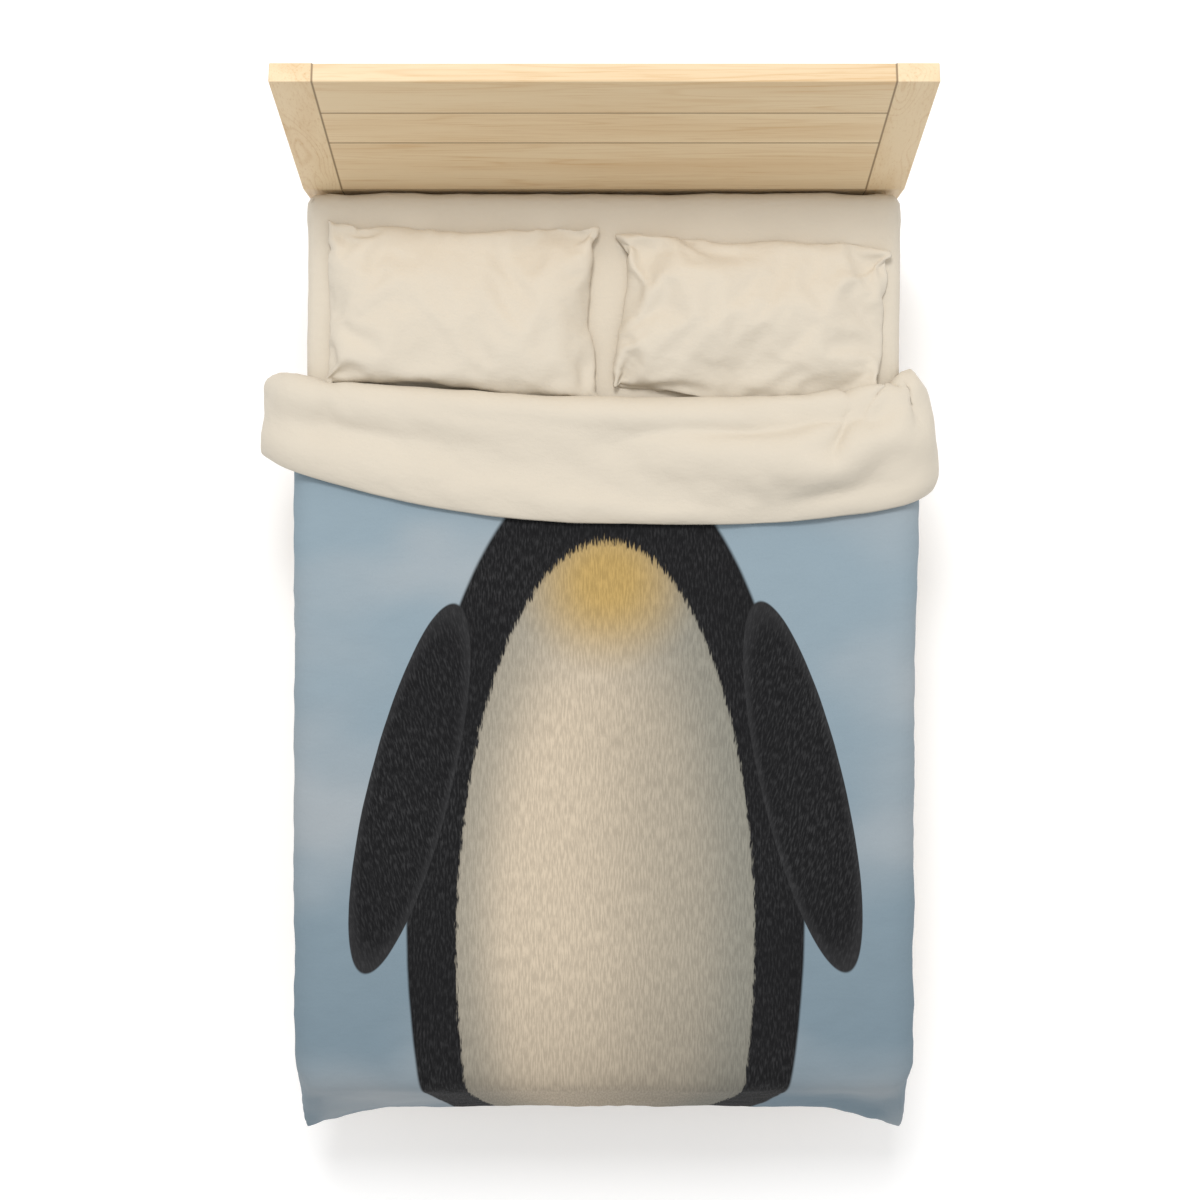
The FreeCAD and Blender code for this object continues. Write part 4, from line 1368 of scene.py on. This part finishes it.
    def ear_ray(self, turn: float) -> Vector:
        """A direction in the fold that the duvet makes at a foot corner.

        The corner's quarter circle of cloth hangs from the bed's corner as a cone. It leaves the
        foot's slope, swings out to the fold's ridge and comes back to the side.

        Args:
            turn: how far round the quarter circle, in degrees from the foot's side.

        Returns:
            The unit vector.
        """
        places = self.ear
        number = max(n for n, place in enumerate(places[:-1]) if turn >= place[0])
        before, after = places[number], places[number + 1]
        share = ease(0.0, 1.0, (turn - before[0]) / (after[0] - before[0]))
        share = 0.5 * share + 0.5 * (turn - before[0]) / (after[0] - before[0])
        out = math.radians(before[1] + (after[1] - before[1]) * share)
        down = math.radians(before[2] + (after[2] - before[2]) * share)
        return Vector((math.tan(out), -math.tan(down), -1.0)).normalized()

    def corner(self, across: float, beyond: float) -> Vector:
        """Where a point of the duvet's foot corner lies.

        Args:
            across: the place across.
            beyond: how far down past the start of the foot's bend.

        Returns:
            The point.
        """
        start = self.bed.high.x - self.bed.edge
        out = abs(across) - start
        reach = math.hypot(out, beyond)
        turn = math.degrees(math.atan2(out, beyond))
        share = turn / 90.0
        apex = Vector((start, self.foot_edge, self.rest_z))
        point = apex + reach * self.ear_ray(turn)
        y, height = self.profile(start, self.length - self.arc_below(reach))
        foot = Vector((start, y, self.bed.high.z + height))
        side = self.drape(start + reach, self.foot_edge, self.layer)
        point += (1 - share) * (foot - apex - reach * self.ear_ray(0.0))
        point += share * (side - apex - reach * self.ear_ray(90.0))
        return Vector((math.copysign(point.x, across), point.y, point.z))

    def arc_below(self, beyond: float) -> float:
        """Distance up from the foot hem of a point so far past the start of the foot's bend."""
        return self.foot_radius * self.foot_slope + self.foot_run - beyond

    def lay(self) -> bpy.types.Object:
        """Lays the duvet's middle surface over the bed, not yet settled.

        Returns:
            The surface.
        """
        cloth = grid("duvet", round(self.width / self.cell), round(self.length / self.cell))
        edges = cloth.vertex_groups.new(name="thickness")
        pins = cloth.vertex_groups.new(name="zip")
        for point in cloth.data.vertices:
            across = point.co.x * self.width / 2
            down = (1 - point.co.y) * self.length / 2
            y, height = self.profile(across, down)
            bumps = noise.noise(Vector((across * 7, down * 7, 3.0)))
            bumps += 0.5 * noise.noise(Vector((across * 17, down * 15, 8.0)))
            near = min(self.width / 2 - abs(across), down, self.length - down)
            crown = math.sqrt(1 - (1 - min(near / self.hem_reach, 1.0)) ** 2)
            lumps = 1 + 0.10 * noise.noise(Vector((across * 9, down * 9, 11.0)))
            edges.add([point.index], self.hem_share + (0.9 - self.hem_share) * crown * lumps,
                      "REPLACE")
            beyond = self.arc_below(self.length - down)
            if beyond > 0 and abs(across) > self.bed.high.x - self.bed.edge:
                point.co = self.corner(across, beyond)
                pins.add([point.index], self.corner_hold, "REPLACE")
                continue
            flat = ease(0.0, 0.12, self.length - down)
            point.co = self.drape(across, y, height + self.ripple * bumps * flat * (height > 0))
            hold = self.end_hold * ease(0.50, 0.66, abs(across)) * ease(0.62, 0.42, down)
            if hold > 0:
                pins.add([point.index], hold, "REPLACE")
            if self.length - down < 0.001 and abs(across) < self.zip_half:
                pins.add([point.index], 1.0, "REPLACE")
        return cloth

    def divider(self) -> bpy.types.Object:
        """A thin arch that keeps the turned-down part off the layer under it.

        Returns:
            The arch.
        """
        half = 0.82
        arch = grid("divider", 72, 16)
        for point in arch.data.vertices:
            across, share = point.co.x * half, (point.co.y + 1) / 2
            far = self.nose(across) - self.turn_radius + 0.004
            y = 0.16 + (far - 0.16) * share
            point.co = self.drape(across, y, self.layer + self.sag(across, far - y, 1.0))
        wall = arch.modifiers.new("wall", "SOLIDIFY")
        wall.thickness, wall.offset = self.divider_wall, 0.0
        apply_all(arch)
        return arch

    def form(self) -> bpy.types.Object:
        """A thin slope that holds the foot end's lining up, as the duvet's stiffness would.

        Returns:
            The slope.
        """
        slope = grid("form", 40, 16)
        top = self.length - self.arc_below(0.0)
        for point in slope.data.vertices:
            across = point.co.x * 0.64
            share = (1 - point.co.y) / 2
            y, height = self.profile(across, top + 0.03 + (self.length - top - 0.06) * share)
            point.co = (across, y + 0.020, self.bed.high.z + height - 0.008)
        wall = slope.modifiers.new("wall", "SOLIDIFY")
        wall.thickness, wall.offset = self.form_wall, 0.0
        apply_all(slope)
        return slope

    def settle(self, solids: list[bpy.types.Object]) -> bpy.types.Object:
        """Drapes the duvet by simulation.

        Args:
            solids: what it lies against.

        Returns:
            The settled middle surface.
        """
        cloth = self.lay()
        for solid in solids:
            make_solid(solid)
        made = Fabric(mass=0.25, stretch=60.0, shear=25.0, bend=12.0).put_on(cloth, pins="zip")
        made.settings.effector_weights.gravity = self.weight
        settle([cloth], self.frames)
        return cloth

    def build(self, pillows: list[bpy.types.Object]) -> bpy.types.Object:
        """Makes the duvet.

        Args:
            pillows: the finished pillows, which its crease lies against.

        Returns:
            The duvet.
        """
        block = self.bed.solid("block", self.layer - 0.005)
        solids = [block, self.divider(), self.form()]
        for pillow in pillows:
            stand_in = copy_of(pillow, f"{pillow.name}_stand_in")
            puff(stand_in, self.pillow_gap)
            solids.append(stand_in)
        duvet = self.settle(solids)
        for solid in solids:
            remove(solid)
        face = Graph("duvet_print")
        picture = PenguinPrint().paint(face, self.width, self.length)
        dress(duvet, FINISH.print_ground.surface(face, self.width, self.length, picture),
              FINISH.bedding.plain("duvet_reverse", self.width, self.length))
        filled = duvet.modifiers.new("filling", "SOLIDIFY")
        filled.thickness, filled.offset = self.thick, 0.0
        filled.vertex_group = "thickness"
        filled.material_offset = 1
        filled.material_offset_rim = 1
        finer = duvet.modifiers.new("finer", "SUBSURF")
        finer.levels = finer.render_levels = 1
        apply_all(duvet)
        self.crumple(duvet)
        shade_smooth(duvet)
        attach(duvet, "duvet")
        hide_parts("duvet_cover", "duvet_filling", "duvet_corner_ties")
        log.info("duvet: %d faces", len(duvet.data.polygons))
        return duvet

    def crumple(self, duvet: bpy.types.Object) -> None:
        """Adds the cover's fine creases, and the puckers along its seams.

        Args:
            duvet: the duvet.
        """
        layer = duvet.data.uv_layers[0].data
        where = {}
        for corner in duvet.data.loops:
            where[corner.vertex_index] = layer[corner.index].uv
        points = duvet.data.vertices
        normals = [point.normal.copy() for point in points]
        for point, normal in zip(points, normals):
            uv = where[point.index]
            across, up = (uv.x - 0.5) * self.width, uv.y * self.length
            near = min(self.width / 2 - abs(across), up, self.length - up)
            long = creases(Vector((across + 0.35 * up, up * 0.55, 0.0)), 6.5, 1.9)
            small = creases(Vector((across * 0.6 - 0.5 * up, up, 0.0)), 16.0, 6.1)
            seam = math.exp(-near / 0.035)
            run = up if self.width / 2 - abs(across) < 0.08 else across
            pucker = noise.noise(Vector((run * 42, near * 10, 9.0)))
            point.co += normal * ((0.0019 * long + 0.0008 * small) * (1 - 0.6 * seam)
                                  + 0.0016 * pucker * seam * min(near / 0.012, 1.0))


# ---- zip -----------------------------------------------------------------------------------
@dataclass
class Zip:
    """The zip along the foot hem: tapes with teeth, a slider and its pull."""

    pitch: float = 0.004
    tape: float = 0.0012

    def build(self) -> bpy.types.Object:
        """Makes the chain: one strip for both tapes, and a row of teeth.

        Returns:
            The chain.
        """
        low, high = (Vector(corner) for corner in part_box("zip_chain"))
        middle = (low + high) / 2
        size = high - low
        deselect_all()
        bpy.ops.mesh.primitive_cube_add(size=1.0, location=(middle.x, middle.y,
                                                            high.z - self.tape / 2))
        chain = named("zip_chain_teeth")
        chain.scale = (size.x, size.y, self.tape)
        take(chain)
        bpy.ops.object.transform_apply(location=True, rotation=True, scale=True)
        round_off = chain.modifiers.new("round", "BEVEL")
        round_off.width, round_off.segments = self.tape * 0.4, 2
        apply_all(chain)
        deselect_all()
        bpy.ops.mesh.primitive_cube_add(size=1.0, location=(low.x + self.pitch, middle.y,
                                                            low.z + size.z * 0.4))
        tooth = named("tooth")
        tooth.scale = (self.pitch * 0.62, size.y * 0.62, size.z * 0.8)
        take(tooth)
        bpy.ops.object.transform_apply(location=True, rotation=True, scale=True)
        soften = tooth.modifiers.new("round", "BEVEL")
        soften.width, soften.segments = self.pitch * 0.14, 1
        row = tooth.modifiers.new("row", "ARRAY")
        row.use_relative_offset = False
        row.use_constant_offset = True
        row.constant_offset_displace = (self.pitch, 0.0, 0.0)
        row.count = int(size.x / self.pitch) - 1
        apply_all(tooth)
        take(chain)
        tooth.select_set(True)
        bpy.ops.object.join()
        g = Graph("zip_nylon")
        threads = g.noise(g.place(), 700.0, 2.0)
        colour = g.mix(threads, (0.66, 0.59, 0.47), (0.54, 0.48, 0.38))
        dress(chain, g.finish(colour, 0.55, threads, 0.0002))
        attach(chain, "duvet")
        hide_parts("zip_chain")
        metal = FINISH.slider.made("zip_slider_metal")
        for node in ("zip_slider", "zip_pull"):
            dress(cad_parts[node], metal)
        log.info("zip: %d faces", len(chain.data.polygons))
        return chain


# ---- studio --------------------------------------------------------------------------------
@dataclass
class Studio:
    """The floor, the lights and the camera over the bed."""

    camera_height: float = 5.352
    focal: float = 61.9
    aim: tuple[float, float] = (-0.009, 0.074)

    def floor(self) -> None:
        """A plain pale floor."""
        deselect_all()
        bpy.ops.mesh.primitive_plane_add(size=40.0)
        plane = named("floor")
        g = Graph("studio_floor")
        dress(plane, g.finish((0.92, 0.92, 0.92), 0.9, Emission_Color=(1.0, 1.0, 1.0),
                              Emission_Strength=0.16))

    def lamp(self, name: str, place: Colour, target: Colour, size: float, power: float) -> None:
        """Adds a soft square lamp.

        Args:
            name: its name.
            place: where it is.
            target: what it points at.
            size: its side.
            power: in watts.
        """
        light = bpy.data.lights.new(name, "AREA")
        light.size, light.energy = size, power
        obj = bpy.data.objects.new(name, light)
        obj.location = place
        obj.rotation_euler = (Vector(target) - Vector(place)).to_track_quat("-Z", "Y").to_euler()
        bpy.context.scene.collection.objects.link(obj)

    def build(self) -> None:
        """Sets up the floor, the lights and the camera."""
        self.floor()
        self.lamp("key", (-0.5, 4.2, 8.2), (0.0, 0.0, 0.4), 2.2, 350.0)
        self.lamp("overhead", (0.6, 0.2, 6.2), (0.0, 0.0, 0.4), 4.5, 30.0)
        world = bpy.data.worlds.new("studio")
        world.use_nodes = True
        tree = world.node_tree
        sky = tree.nodes["Background"]
        sky.inputs["Color"].default_value = (1.0, 1.0, 1.0, 1.0)
        behind = tree.nodes.new("ShaderNodeMapRange")
        behind.inputs["To Min"].default_value, behind.inputs["To Max"].default_value = 0.72, 1.0
        seen = tree.nodes.new("ShaderNodeLightPath")
        tree.links.new(seen.outputs["Is Camera Ray"], behind.inputs["Value"])
        tree.links.new(behind.outputs["Result"], sky.inputs["Strength"])
        bpy.context.scene.world = world
        bpy.context.scene.view_settings.view_transform = "Standard"
        lens = bpy.data.cameras.new("camera")
        lens.lens = self.focal
        lens.sensor_width = 36.0
        camera = bpy.data.objects.new("camera", lens)
        camera.location = (*self.aim, self.camera_height)
        bpy.context.scene.collection.objects.link(camera)
        bpy.context.scene.camera = camera


def main() -> None:
    """Builds the bed's looks in order."""
    Studio().build()
    Bedstead().dress()
    bed = Bed()
    bed.dress()
    sheet = bed.build()
    pillows = [Pillow("left", 1.4, 2.7, (-0.002, -0.009)),
               Pillow("right", 4.2, 9.1, (-0.008, -0.035), depth=0.431)]
    cases = [pillow.case() for pillow in pillows]
    table = copy_of(sheet, "table")
    make_solid(table)
    for pillow, case in zip(pillows, cases):
        pillow.fill(case)
    settle(cases, 30)
    remove(table)
    finished = [pillow.finish(case) for pillow, case in zip(pillows, cases)]
    Duvet(bed).build(finished)
    Zip().build()


if __name__ == "__main__":
    main()
